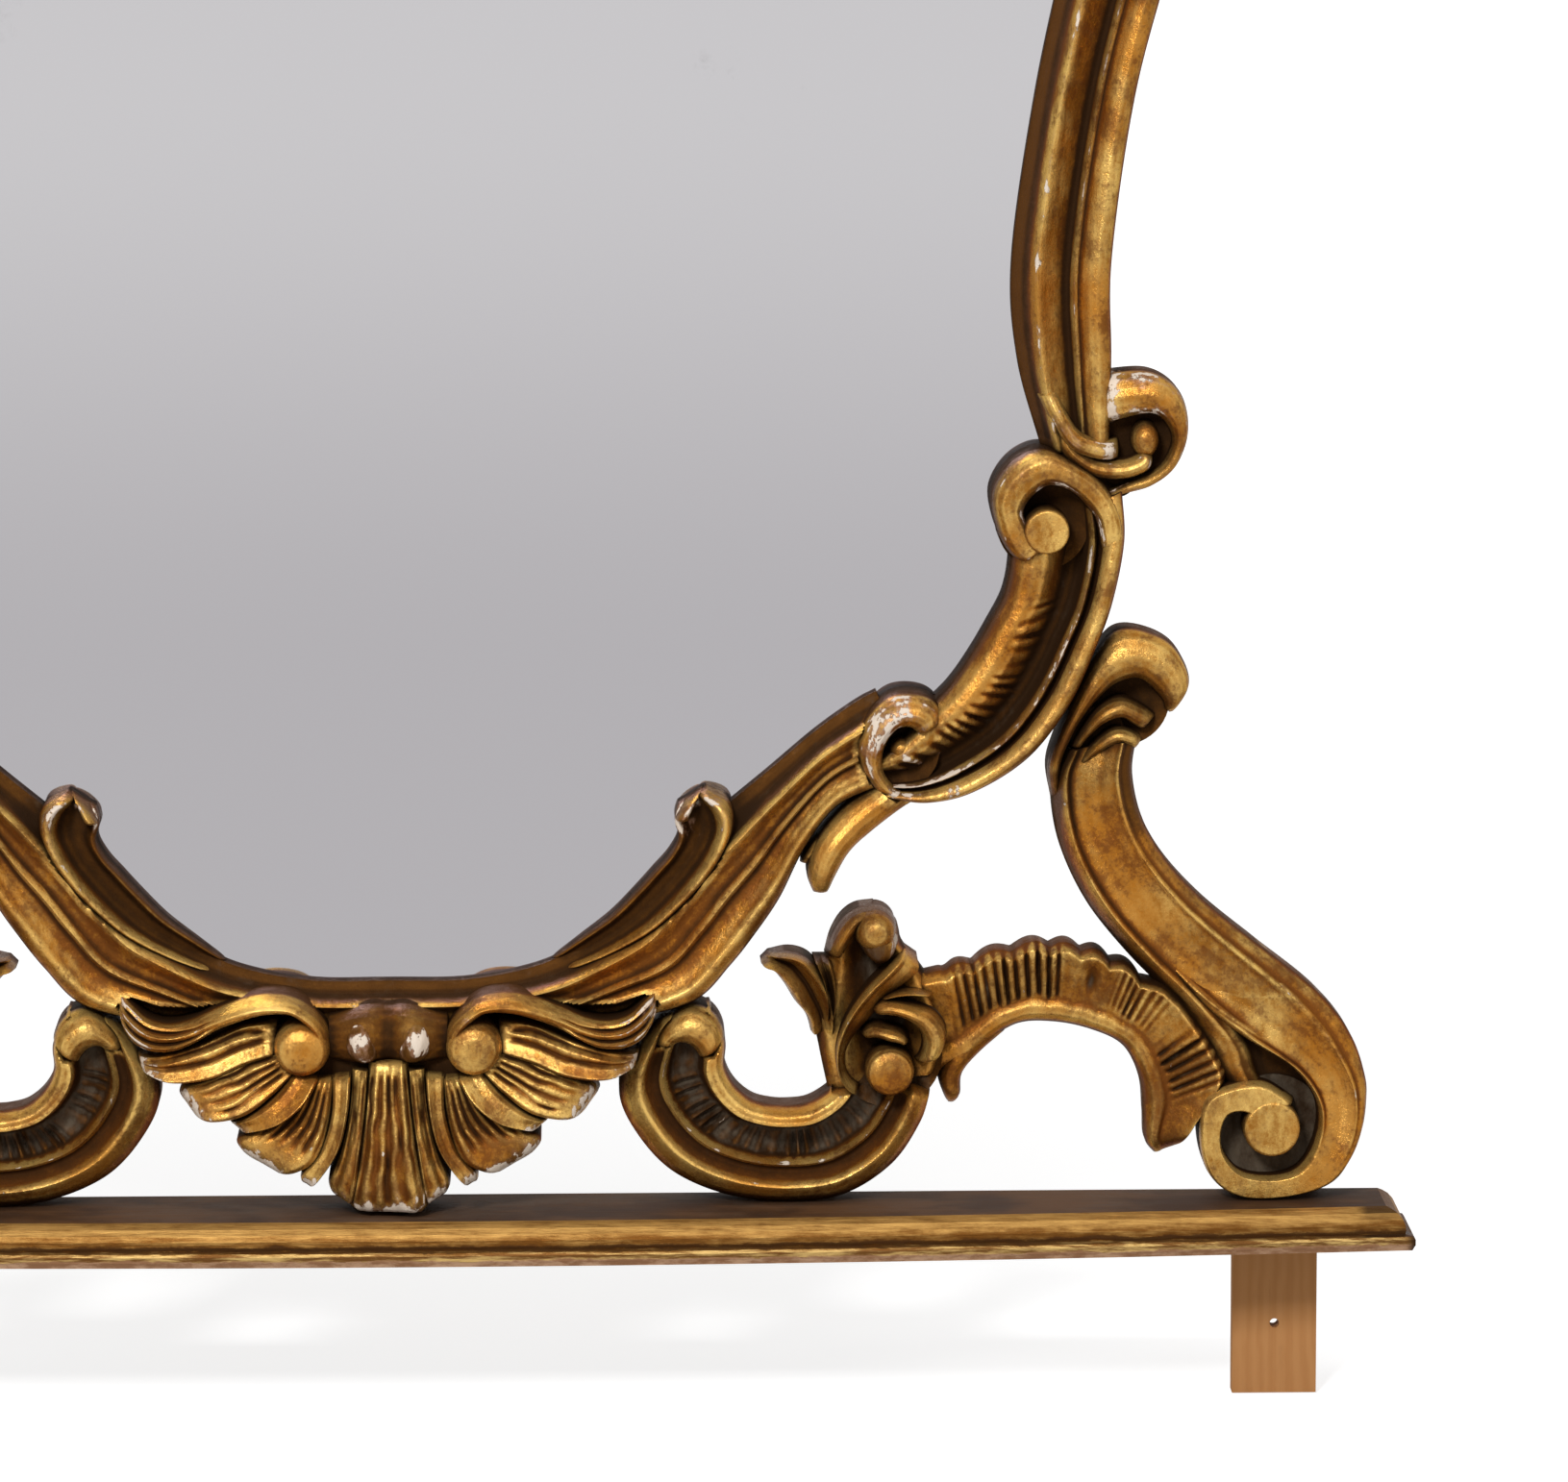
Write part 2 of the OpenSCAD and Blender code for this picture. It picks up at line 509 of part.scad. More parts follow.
module rail_front_moulding() {
    color(gilt) intersection() {
        translate([0, bow_y, 0]) rotate([0, 0, -90 - bow_angle / 2])
            rotate_extrude(angle = bow_angle, $fn = 1200)
                polygon([for (p = moulding_profile()) [bow_r - moulding_w + p[0], p[1]]]);
        mitre_side(1);
        mirror([1, 0, 0]) mitre_side(1);
    }
}

module rail_end_moulding(side) {
    color(gilt) handed(side) difference() {
        translate([board_half, back_y, 0]) rotate([90, 0, 0]) linear_extrude(rail_d)
            polygon(moulding_profile());
        mitre_side(1);
    }
}

// ---- battens ----

batten_x = (foot_eye[0] + 4) * kx;            // the battens stand behind the feet's eyes
function batten_screw_places() = [for (dx = [-13, 13]) [batten_x + dx, rail_h / 2]];

// A countersunk screw driven forward from the plane y, length l.
module screw_form(x, y, z, d, l) {
    translate([x, y, z]) rotate([90, 0, 0]) {
        cylinder(d = d, h = l, $fn = 24);
        cylinder(d1 = 2 * d, d2 = d, h = d / 2, $fn = 24);
    }
}

module batten_screws() {
    color(steel) for (side = [1, -1], p = batten_screw_places())
        screw_form(side * p[0], back_y + batten_t, p[1], screw_d, batten_t + 18);
}

module batten(side) {
    color(bare_wood) handed(side) difference() {
        translate([batten_x - batten_w / 2, back_y, -batten_drop])
            cube([batten_w, batten_t, batten_drop + rail_h + batten_rise]);
        for (p = batten_screw_places())
            screw_form(p[0], back_y + batten_t, p[1], screw_d, batten_t + 18);
        translate([batten_x, back_y + batten_t + 1, -wall_hole_z]) rotate([90, 0, 0])
            cylinder(d = wall_hole_d, h = batten_t + 2, $fn = 32);
    }
}

module drilled_rail_board() {
    difference() {
        rail_board();
        for (side = [1, -1], p = batten_screw_places())
            screw_form(side * p[0], back_y + batten_t, p[1], screw_d, batten_t + 18);
    }
}

// ---- mirror plate and what holds it ----

// Half of the frame's closed line at share u of the members' width, from the middle of
// the bottom up to the middle of the top.
function half_line(u) = let (arc = smooth(arc_line, 2), corner = smooth([for (i = [0:5]) corner_line[i]], 2),
    side = smooth(stile_line, 2))
    concat([for (s = arc) across(s, u)], [for (i = [len(corner) - 1:-1:0]) across(corner[i], u)],
        [for (i = [len(side) - 1:-1:0]) across(side[i], u)],
        [for (s = above(corner)) across(s, u)],
        [for (i = [len(arc) - 1:-1:0]) across(above(arc)[i], u)]);
function loop(u) = let (half = half_line(u), n = len(half))
    concat(half, [for (i = [n - 2:-1:1]) [-half[i][0], half[i][1]]]);

plate_u = 0.14;          // the plate's edge, as a share of the members' width
rebate_u = 0.16;         // the backing frame's inner edge
backing_u = 0.8;         // the backing frame's outer edge
backboard_u = 0.6;       // the backboards' edge
screw_u = 0.38;          // the backboard screws' line

module upright(y, t) {
    translate([0, y, 0]) rotate([90, 0, 0]) linear_extrude(t) children();
}

module mirror_plate() {
    color(silver) upright(frame_y + plate_t, plate_t) polygon(loop(plate_u));
}

lap_high = 305;          // drawn height of the backing frame's lower laps
low_lap_z = rail_h + lap_high * kz;
high_lap_z = rail_h + above_point([0, lap_high])[1] * kz;

// Everything between two heights, from the plane y forward by t.
module storey(z0, z1, y, t) {
    translate([-far / 2, y - t, z0]) cube([far, t, z1 - z0]);
}

module backing_ring() {
    upright(back_y, backing_t) difference() {
        polygon(loop(backing_u));
        polygon(loop(rebate_u));
    }
}

function backboard_screw_places() = let (half = half_line(screw_u), n = len(half) - 1)
    [for (share = [0.06, 0.2, 0.31, 0.42, 0.53, 0.64, 0.75, 0.86, 0.95]) half[round(n * share)]];
function lap_screw_places() = [for (z = [low_lap_z, high_lap_z], dz = [-10, 10])
    [lap_x(z + dz), z + dz]];
function lap_x(z) = let (half = half_line(0.5))
    [for (i = [1:len(half) - 1]) if (half[i - 1][1] <= z && half[i][1] > z) half[i][0]][0];

module backboard_screws() {
    color(steel) for (side = [1, -1], p = backboard_screw_places())
        screw_form(side * p[0], back_y + backboard_t, p[1], screw_d, backboard_t + backing_t - 3);
}

module lap_screws() {
    color(steel) for (side = [1, -1], p = lap_screw_places())
        screw_form(side * p[0], back_y, p[1], screw_d, backing_t - 2);
}

module drill_backing() {
    backboard_screws();
    lap_screws();
}

// The back half of the frame's thickness runs through at a lap's lower side, and the
// front half at its upper side.
module backing_piece(z0, z1, lap0, lap1) {
    color(pine) difference() {
        intersection() {
            backing_ring();
            union() {
                storey(z0 + lap0, z1 - lap1, back_y, backing_t);
                if (lap0 > 0) storey(z0, z0 + lap0, back_y, backing_t / 2);
                if (lap1 > 0) storey(z1 - lap1, z1, frame_y + backing_t / 2, backing_t / 2);
            }
        }
        drill_backing();
    }
}

module backing_side(side) {
    handed(side) intersection() {
        backing_piece(low_lap_z - lap_h / 2, high_lap_z + lap_h / 2, lap_h, lap_h);
        translate([0, -far / 2, 0]) cube([far, far, far]);
    }
}

// Short glue blocks hold the plate against the carving, each along one stretch of the
// backing frame's inner edge.
block_w = 11;
block_shares = [0.05, 0.12, 0.18, 0.34, 0.45, 0.5, 0.55, 0.67, 0.81, 0.87, 0.94];

module glass_blocks() {
    half = half_line(rebate_u);
    color(pine) for (side = [1, -1], share = block_shares) handed(side) {
        i = round((len(half) - 1) * share);
        edge = half[i + 1] - half[i];
        inward = [-edge[1], edge[0]] * block_w / norm(edge);
        upright(back_y, backing_t - plate_t)
            polygon([half[i], half[i + 1], half[i + 1] + inward, half[i] + inward]);
    }
}

module backboard(z0, z1, lap0, lap1) {
    board_y = back_y + backboard_t;
    color(bare_wood) difference() {
        intersection() {
            upright(board_y, backboard_t) polygon(loop(backboard_u));
            union() {
                storey(z0 + lap0, z1 - lap1, board_y, backboard_t);
                if (lap0 > 0) storey(z0, z0 + lap0, board_y, backboard_t / 2);
                if (lap1 > 0) storey(z1 - lap1, z1, board_y - backboard_t / 2, backboard_t / 2);
            }
        }
        backboard_screws();
    }
}

board_lap = 12;
low_board_high = 430;                            // drawn heights of the backboards' joints
high_board_low = 800;
board_z1 = rail_h + low_board_high * kz;
board_z2 = rail_h + high_board_low * kz;

drilled_rail_board();  // rail_board
rail_front_moulding();
rail_end_moulding(-1);  // rail_end_moulding_left
rail_end_moulding(1);  // rail_end_moulding_right
batten(-1);  // batten_left
batten(1);  // batten_right
batten_screws();
foot_scroll(-1);  // foot_scroll_left
foot_scroll(1);  // foot_scroll_right
pierced_scroll(-1);  // apron_scroll_left
pierced_scroll(1);  // apron_scroll_right
leafy_bud(-1);  // leafy_bud_left
leafy_bud(1);  // leafy_bud_right
ribbed_arch(-1);  // ribbed_arch_left
ribbed_arch(1);  // ribbed_arch_right
shell();  // apron_shell
bridge();  // apron_bridge
frame_arc(-1);  // lower_arc_left
frame_arc(1);  // lower_arc_right
lip_leaf(-1);  // lower_lip_leaf_left
lip_leaf(1);  // lower_lip_leaf_right
drop_leaf(-1);  // drop_leaf_left
drop_leaf(1);  // drop_leaf_right
corner_scroll(-1);  // corner_scroll_left
corner_scroll(1);  // corner_scroll_right
stile(-1);  // stile_left
stile(1);  // stile_right
corner_scroll(-1, true);  // shoulder_scroll_left
corner_scroll(1, true);  // shoulder_scroll_right
frame_arc(-1, true);  // top_arc_left
frame_arc(1, true);  // top_arc_right
lip_leaf(-1, true);  // upper_lip_leaf_left
lip_leaf(1, true);  // upper_lip_leaf_right
pierced_scroll(-1, true);  // crest_scroll_left
pierced_scroll(1, true);  // crest_scroll_right
leafy_bud(-1, true);  // shoulder_leaf_left
leafy_bud(1, true);  // shoulder_leaf_right
shell(true);  // crest_shell
bridge(true);  // crest_bridge
mirror_plate();
backing_piece(0, low_lap_z + lap_h / 2, 0, lap_h);  // backing_bottom
backing_side(-1);  // backing_left
backing_side(1);  // backing_right
backing_piece(high_lap_z - lap_h / 2, far, lap_h, 0);  // backing_top
lap_screws();
glass_blocks();
backboard(0, board_z1, 0, board_lap);  // backboard_lower
backboard(board_z1 - board_lap, board_z2, board_lap, board_lap);  // backboard_middle
backboard(board_z2 - board_lap, far, board_lap, 0);  // backboard_upper
backboard_screws();
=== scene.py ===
# Carved and gilded pier mirror: the looks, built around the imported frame.
import math

import bpy
import numpy as np
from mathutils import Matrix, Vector


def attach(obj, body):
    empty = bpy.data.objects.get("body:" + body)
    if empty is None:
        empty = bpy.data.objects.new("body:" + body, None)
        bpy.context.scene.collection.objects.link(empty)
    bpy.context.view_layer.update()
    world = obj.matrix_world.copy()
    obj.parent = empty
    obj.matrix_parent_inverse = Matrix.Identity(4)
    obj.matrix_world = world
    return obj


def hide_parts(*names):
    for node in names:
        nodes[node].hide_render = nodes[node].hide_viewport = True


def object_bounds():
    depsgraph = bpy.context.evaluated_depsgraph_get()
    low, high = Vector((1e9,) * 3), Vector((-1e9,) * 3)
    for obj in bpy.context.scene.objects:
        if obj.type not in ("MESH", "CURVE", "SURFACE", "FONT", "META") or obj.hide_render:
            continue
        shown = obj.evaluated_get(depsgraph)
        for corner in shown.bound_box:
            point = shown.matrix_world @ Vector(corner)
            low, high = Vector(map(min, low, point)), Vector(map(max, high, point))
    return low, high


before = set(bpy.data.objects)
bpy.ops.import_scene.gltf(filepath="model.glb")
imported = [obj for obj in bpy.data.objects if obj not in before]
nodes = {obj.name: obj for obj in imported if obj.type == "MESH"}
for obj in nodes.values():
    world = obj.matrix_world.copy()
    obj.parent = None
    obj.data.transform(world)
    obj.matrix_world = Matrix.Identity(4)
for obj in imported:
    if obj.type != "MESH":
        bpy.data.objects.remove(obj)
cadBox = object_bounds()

scene = bpy.context.scene
print("frame loaded:", len(nodes), "nodes")

camera = {
    "place": (0.1034, -4.0838, 0.8916),
    "aim": (0.2070, -0.04, 0.2770),
    "lens": 181.46,
    "roll": -0.097,        # degrees
}
studio = {
    "floorDrop": 0.0006,   # under the battens
    "floorSize": 30, "floorGrey": 0.80,
    "room": 0.30,          # strength of the world on the object
    "nearGlow": 0.70, "farGlow": 0.95, "glowFrom": 0.6, "glowTo": 5.0,
    "lampAim": (0.15, 0.0, 0.4),
    "keyPower": 88, "keyPlace": (-0.7, -3.0, 2.2), "keySize": 0.7,
    "topPower": 22, "topPlace": (0.4, -1.2, 3.0), "topSize": 1.4,
    "sidePower": 4, "sidePlace": (2.8, -1.4, 1.2), "sideSize": 1.0,
}


def aimAt(thing, target):
    way = [target[i] - thing.location[i] for i in range(3)]
    thing.rotation_euler = Vector(way).to_track_quat("-Z", "Y").to_euler()


def makeCamera():
    data = bpy.data.cameras.new("camera")
    thing = bpy.data.objects.new("camera", data)
    scene.collection.objects.link(thing)
    thing.location = camera["place"]
    aimAt(thing, camera["aim"])
    thing.rotation_euler.rotate_axis("Z", math.radians(camera["roll"]))
    data.sensor_width = 36
    data.lens = camera["lens"]
    data.clip_end = 200
    scene.camera = thing


def areaLight(lamp):
    name = lamp + "Light"
    data = bpy.data.lights.new(name, "AREA")
    data.size = studio[lamp + "Size"]
    data.energy = studio[lamp + "Power"]
    thing = bpy.data.objects.new(name, data)
    thing.location = studio[lamp + "Place"]
    scene.collection.objects.link(thing)
    aimAt(thing, studio["lampAim"])


makeCamera()
for lamp in ("key", "top", "side"):
    areaLight(lamp)
print("camera and lamps made")


def addNode(tree, kind, **values):
    made = tree.nodes.new("ShaderNode" + kind)
    for key, value in values.items():
        setattr(made, key, value)
    return made


def feed(tree, target, value):
    if isinstance(value, bpy.types.NodeSocket):
        tree.links.new(value, target)
    else:
        target.default_value = value


def reckon(tree, operation, a, b=0.5, clamp=False):
    made = addNode(tree, "Math", operation=operation, use_clamp=clamp)
    feed(tree, made.inputs[0], a)
    feed(tree, made.inputs[1], b)
    return made.outputs[0]


def times(tree, a, b):
    return reckon(tree, "MULTIPLY", a, b)


def opposite(tree, value, clamp=False):
    return reckon(tree, "SUBTRACT", 1.0, value, clamp=clamp)


# Adds up values, each with its share, and then a fixed number.
def sumOf(tree, *parts, plus=None):
    total = None
    for value, share in parts:
        part = times(tree, value, share) if share != 1 else value
        total = part if total is None else reckon(tree, "ADD", total, part)
    return total if plus is None else reckon(tree, "ADD", total, plus)


def mixColour(tree, share, a, b):
    made = addNode(tree, "Mix", data_type="RGBA", blend_type="MIX", clamp_factor=True)
    feed(tree, made.inputs[0], share)
    feed(tree, made.inputs[6], a)
    feed(tree, made.inputs[7], b)
    return made.outputs[2]


def between(tree, value, low, high):
    made = addNode(tree, "MapRange", clamp=True, interpolation_type="SMOOTHSTEP")
    feed(tree, made.inputs[0], value)
    feed(tree, made.inputs[1], low)
    feed(tree, made.inputs[2], high)
    return made.outputs[0]


def noise(tree, place, scale, detail, rough):
    made = addNode(tree, "TexNoise")
    feed(tree, made.inputs["Vector"], place)
    feed(tree, made.inputs["Scale"], scale)
    feed(tree, made.inputs["Detail"], detail)
    feed(tree, made.inputs["Roughness"], rough)
    return made.outputs[0]


def stretched(tree, place, scale):
    made = addNode(tree, "Mapping")
    feed(tree, made.inputs[0], place)
    made.inputs[3].default_value = scale
    return made.outputs[0]


def newGroup(name, inputs, outputs):
    group = bpy.data.node_groups.new(name, "ShaderNodeTree")
    for label, kind, value in inputs:
        socket = group.interface.new_socket(label, in_out="INPUT", socket_type="NodeSocket" + kind)
        socket.default_value = value
    for label, kind in outputs:
        group.interface.new_socket(label, in_out="OUTPUT", socket_type="NodeSocket" + kind)
    return group, group.nodes.new("NodeGroupInput"), group.nodes.new("NodeGroupOutput")


def useGroup(tree, group, **values):
    made = tree.nodes.new("ShaderNodeGroup")
    made.node_tree = group
    for label, value in values.items():
        feed(tree, made.inputs[label], value)
    return made


def objectPlace(tree):
    return addNode(tree, "TexCoord").outputs["Object"]


def split(tree, vector):
    made = addNode(tree, "SeparateXYZ")
    feed(tree, made.inputs[0], vector)
    return made.outputs


# Where each mask of the gilding begins, and where it is full.
wear = {
    "leaf": (1.92, 2.74), "warm": (0.56, 0.78), "bole": (0.45, 0.71), "flank": (0.42, 0.0), "agedAndShaded": (0.30, 1.10),
    "dirtAndShade": (0.72, 1.42), "dust": (1.02, 1.5), "rosy": (0.76, 0.86), "chip": (0.862, 0.885),
}
# How much of its colour each mask lays on.
laidOn = {"warm": 0.75, "bole": 0.78, "agedAndShaded": 0.93, "dirtAndShade": 0.92, "dust": 0.8, "metal": 0.62}
shadeReach = 0.018           # metres that the search for hollows looks


# Worn gold leaf on red-brown bole and white gesso, with painted shade and a painted highlight. The meshes carry
# three marks:
# fold (ridge or hollow), toned (how much darker it is made: old toning, and painted shade where it lies low)
# and bare (how far it is rubbed off).
def makeGiltGroup():
    group, given, out = newGroup("wornGildingWithPaintedLight", [
        ("bright", "Color", (0.74, 0.47, 0.135, 1)), ("mid", "Color", (0.30, 0.122, 0.018, 1)),
        ("warm", "Color", (0.42, 0.155, 0.017, 1)), ("bole", "Color", (0.125, 0.034, 0.008, 1)),
        ("shade", "Color", (0.082, 0.032, 0.007, 1)), ("blackBrown", "Color", (0.020, 0.010, 0.005, 1)),
        ("dust", "Color", (0.135, 0.108, 0.078, 1)), ("gesso", "Color", (0.72, 0.61, 0.50, 1)),
        ("rosy", "Color", (0.42, 0.235, 0.15, 1)), ("rub", "Float", 0.5), ("grimy", "Float", 0.5),
        ("dusty", "Float", 0.3), ("chipped", "Float", 0.3)],
        [("colour", "Color"), ("metal", "Float"), ("roughness", "Float"), ("height", "Float")])
    given, place = given.outputs, objectPlace(group)

    def mask(name, *parts):
        return between(group, sumOf(group, *parts), *wear[name])

    fold, toned, bare = (addNode(group, "Attribute", attribute_name=mark).outputs["Fac"]
        for mark in ("fold", "toned", "bare"))
    hollow = times(group, reckon(group, "MINIMUM", fold, 0.0), -1.0)
    ridge = reckon(group, "MAXIMUM", fold, 0.0)
    patches = noise(group, place, 24, 5, 0.6)
    hues = noise(group, place, 17, 3, 0.5)
    blotches = noise(group, place, 105, 6, 0.7)
    streaks = noise(group, stretched(group, place, (1, 1, 0.4)), 230, 5, 0.72)
    speckle = noise(group, place, 560, 4, 0.75)
    # painted shade: ambient occlusion, which darkens the hollows along with the old dirt
    shade = addNode(group, "AmbientOcclusion", samples=8)
    shade.inputs["Distance"].default_value = shadeReach
    shut = opposite(group, shade.outputs["AO"])
    facing = split(group, addNode(group, "TexCoord").outputs["Normal"])
    forward = times(group, facing[1], -1.0)
    # the leaf itself, brighter on ridges, with a painted highlight on faces turned up, and warmer places
    leafMask = mask("leaf", (patches, 1.3), (blotches, 1.25), (streaks, 1.0), (speckle, 0.85), (fold, 0.45),
        (facing[2], 0.12), (toned, -0.42), (bare, 0.2))
    leaf = mixColour(group, leafMask, given["mid"], given["bright"])
    warmMask = mask("warm", (hues, 1.0), (streaks, 0.25))
    leaf = mixColour(group, times(group, warmMask, laidOn["warm"]), leaf, given["warm"])
    # rubbed through to the bole
    boleMask = mask("bole", (hollow, 0.3), (blotches, 0.9), (speckle, 0.6), (given["rub"], 0.3),
        (patches, -0.7), (toned, 0.12))
    colour = mixColour(group, times(group, boleMask, laidOn["bole"]), leaf, given["bole"])
    # browner where it lies low or turns away from the front: partly old toning, partly painted shade from the
    # frontal light
    flank = between(group, forward, *wear["flank"])
    agedAndShadedMask = times(group, mask("agedAndShaded", (toned, 0.85), (flank, 0.6), (blotches, 0.6)), laidOn["agedAndShaded"])
    colour = mixColour(group, agedAndShadedMask, colour, given["shade"])
    # old dirt in the hollows, together with painted shade from the ambient occlusion
    dirtAndShadeMask = mask("dirtAndShade", (shut, 1.15), (hollow, 0.55), (toned, 0.25), (blotches, 0.5), (given["grimy"], 0.4))
    colour = mixColour(group, times(group, dirtAndShadeMask, laidOn["dirtAndShade"]), colour, given["blackBrown"])
    # grey dust lies in the hollows that face the room
    dustNoise = noise(group, stretched(group, place, (1, 1, 0.5)), 80, 4, 0.7)
    dustMask = mask("dust", (toned, 0.3), (hollow, 0.08), (dustNoise, 0.9), (given["dusty"], 0.8),
        (forward, 0.1))
    dustMask = times(group, dustMask, laidOn["dust"])
    colour = mixColour(group, dustMask, colour, given["dust"])
    # chips down to the gesso on the ridges, rosy where only rubbed
    chipNoise = noise(group, stretched(group, place, (1.0, 1.0, 0.6)), 120, 5, 0.62)
    chip = sumOf(group, (chipNoise, 1), (ridge, 0.16), (given["chipped"], 0.2), (shut, -0.1), (bare, 0.4),
        (flank, -0.25))
    rosyMask = times(group, between(group, chip, *wear["rosy"]), reckon(group, "MINIMUM", bare, 1.0))
    colour = mixColour(group, rosyMask, colour, given["rosy"])
    chipMask = between(group, chip, *wear["chip"])
    colour = mixColour(group, chipMask, colour, given["gesso"])
    flat = reckon(group, "MAXIMUM", chipMask, reckon(group, "MAXIMUM", dirtAndShadeMask, dustMask))
    dull = reckon(group, "MAXIMUM", flat, times(group, agedAndShadedMask, 0.75))
    metal = times(group, opposite(group, dull, clamp=True), laidOn["metal"])
    rough = sumOf(group, (blotches, 0.28), (flat, 0.3), (boleMask, 0.12), (speckle, 0.12), plus=0.06)
    height = sumOf(group, (speckle, 0.25), (blotches, 0.8), (streaks, 0.5), (chipMask, -0.7))
    for label, value in (("colour", colour), ("metal", metal), ("roughness", rough), ("height", height)):
        feed(group, out.inputs[label], value)
    return group


# Wood with its grain along one direction of the object.
def makeWoodGroup():
    group, given, out = newGroup("plainWood", [
        ("light", "Color", (0.42, 0.25, 0.13, 1)), ("dark", "Color", (0.22, 0.115, 0.05, 1)),
        ("stain", "Color", (0.07, 0.05, 0.035, 1)), ("place", "Vector", (0, 0, 0)),
        ("stained", "Float", 0.3)],
        [("colour", "Color"), ("roughness", "Float"), ("height", "Float")])
    place = given.outputs["place"]
    wander = noise(group, place, 2.2, 3, 0.5)
    rings = addNode(group, "TexWave", wave_type="BANDS", bands_direction="X")
    feed(group, rings.inputs["Vector"], place)
    for label, value in (("Scale", 14), ("Distortion", 5), ("Detail", 3), ("Detail Scale", 1.4)):
        rings.inputs[label].default_value = value
    fibre = noise(group, stretched(group, place, (60, 60, 3)), 4, 5, 0.7)
    blend = sumOf(group, (rings.outputs[1], 0.35), (fibre, 0.65))
    colour = mixColour(group, between(group, blend, 0.25, 0.75), given.outputs["dark"], given.outputs["light"])
    spots = noise(group, place, 9, 6, 0.7)
    stainMask = between(group, sumOf(group, (spots, 1), (given.outputs["stained"], 0.4)), 0.6, 0.95)
    colour = mixColour(group, times(group, stainMask, 0.8), colour, given.outputs["stain"])
    rough = sumOf(group, (fibre, 0.2), plus=0.62)
    height = sumOf(group, (fibre, 0.7), (wander, 0.3))
    for label, value in (("colour", colour), ("roughness", rough), ("height", height)):
        feed(group, out.inputs[label], value)
    return group


giltGroup = makeGiltGroup()
woodGroup = makeWoodGroup()


def newFinish(name):
    material = bpy.data.materials.new(name)
    material.use_nodes = True
    tree = material.node_tree
    return material, tree, tree.nodes["Principled BSDF"]


def bumped(tree, shader, height, depth):
    bump = addNode(tree, "Bump")
    bump.inputs["Distance"].default_value = depth
    bump.inputs["Strength"].default_value = 1.0
    feed(tree, bump.inputs["Height"], height)
    feed(tree, shader.inputs["Normal"], bump.outputs[0])


def giltFinish(name, **values):
    material, tree, shader = newFinish(name)
    gilt = useGroup(tree, giltGroup, **values).outputs
    feed(tree, shader.inputs["Base Color"], gilt["colour"])
    feed(tree, shader.inputs["Metallic"], gilt["metal"])
    feed(tree, shader.inputs["Roughness"], gilt["roughness"])
    shader.inputs["Specular IOR Level"].default_value = 0.06
    shader.inputs["Specular Tint"].default_value = (0.55, 0.34, 0.14, 1)
    bumped(tree, shader, gilt["height"], 0.0008)
    return material


# The grain runs along Z, or along X with a quarter turn.
def woodFinish(name, grain, rise=0.0005, turn=0.0, **values):
    material, tree, shader = newFinish(name)
    mapping = addNode(tree, "Mapping")
    feed(tree, mapping.inputs[0], objectPlace(tree))
    mapping.inputs[2].default_value = (0, turn, 0)
    mapping.inputs[3].default_value = grain
    wood = useGroup(tree, woodGroup, place=mapping.outputs[0], **values).outputs
    feed(tree, shader.inputs["Base Color"], wood["colour"])
    feed(tree, shader.inputs["Roughness"], wood["roughness"])
    shader.inputs["Specular IOR Level"].default_value = 0.12
    bumped(tree, shader, wood["height"], rise)
    return material


def mirrorFinish():
    material, tree, shader = newFinish("oldSilvering")
    place = objectPlace(tree)
    # painted reflection: the plate is paler at the top and darker lower down
    tone = between(tree, split(tree, place)[2], 0.30, 0.62)
    silver = mixColour(tree, tone, (0.452, 0.438, 0.455, 1), (0.585, 0.572, 0.588, 1))
    foxing = noise(tree, place, 14, 7, 0.75)
    silver = mixColour(tree, between(tree, foxing, 0.66, 0.95), silver, (0.40, 0.385, 0.39, 1))
    feed(tree, shader.inputs["Base Color"], silver)
    shader.inputs["Metallic"].default_value = 1.0
    cloud = noise(tree, place, 30, 4, 0.6)
    feed(tree, shader.inputs["Roughness"], sumOf(tree, (cloud, 0.05), plus=0.02))
    return material


# Bands of the rail's moulding in metres: above its underside, or out from its middle.
moulding = {
    "lit": (0.0125, 0.0185), "quirkFoot": (0.0074, 0.0083), "quirkTop": (0.0112, 0.0095),
    "bead": (0.0078, 0.0070), "bare": (0.0042, 0.0030), "ragged": 0.007,
    "end": (0.5395, 0.5345), "darkerTop": (0.508, 0.516),
    "gold": ((0.125, 0.048, 0.009, 1), (0.46, 0.26, 0.075, 1)), "quirkShade": (0.05, 0.021, 0.008, 1),
    "pale": ((0.13, 0.055, 0.015, 1), (0.52, 0.34, 0.12, 1)),
    "wood": ((0.25, 0.125, 0.062, 1), (0.46, 0.28, 0.17, 1)), "blackBrown": (0.035, 0.017, 0.008, 1),
}
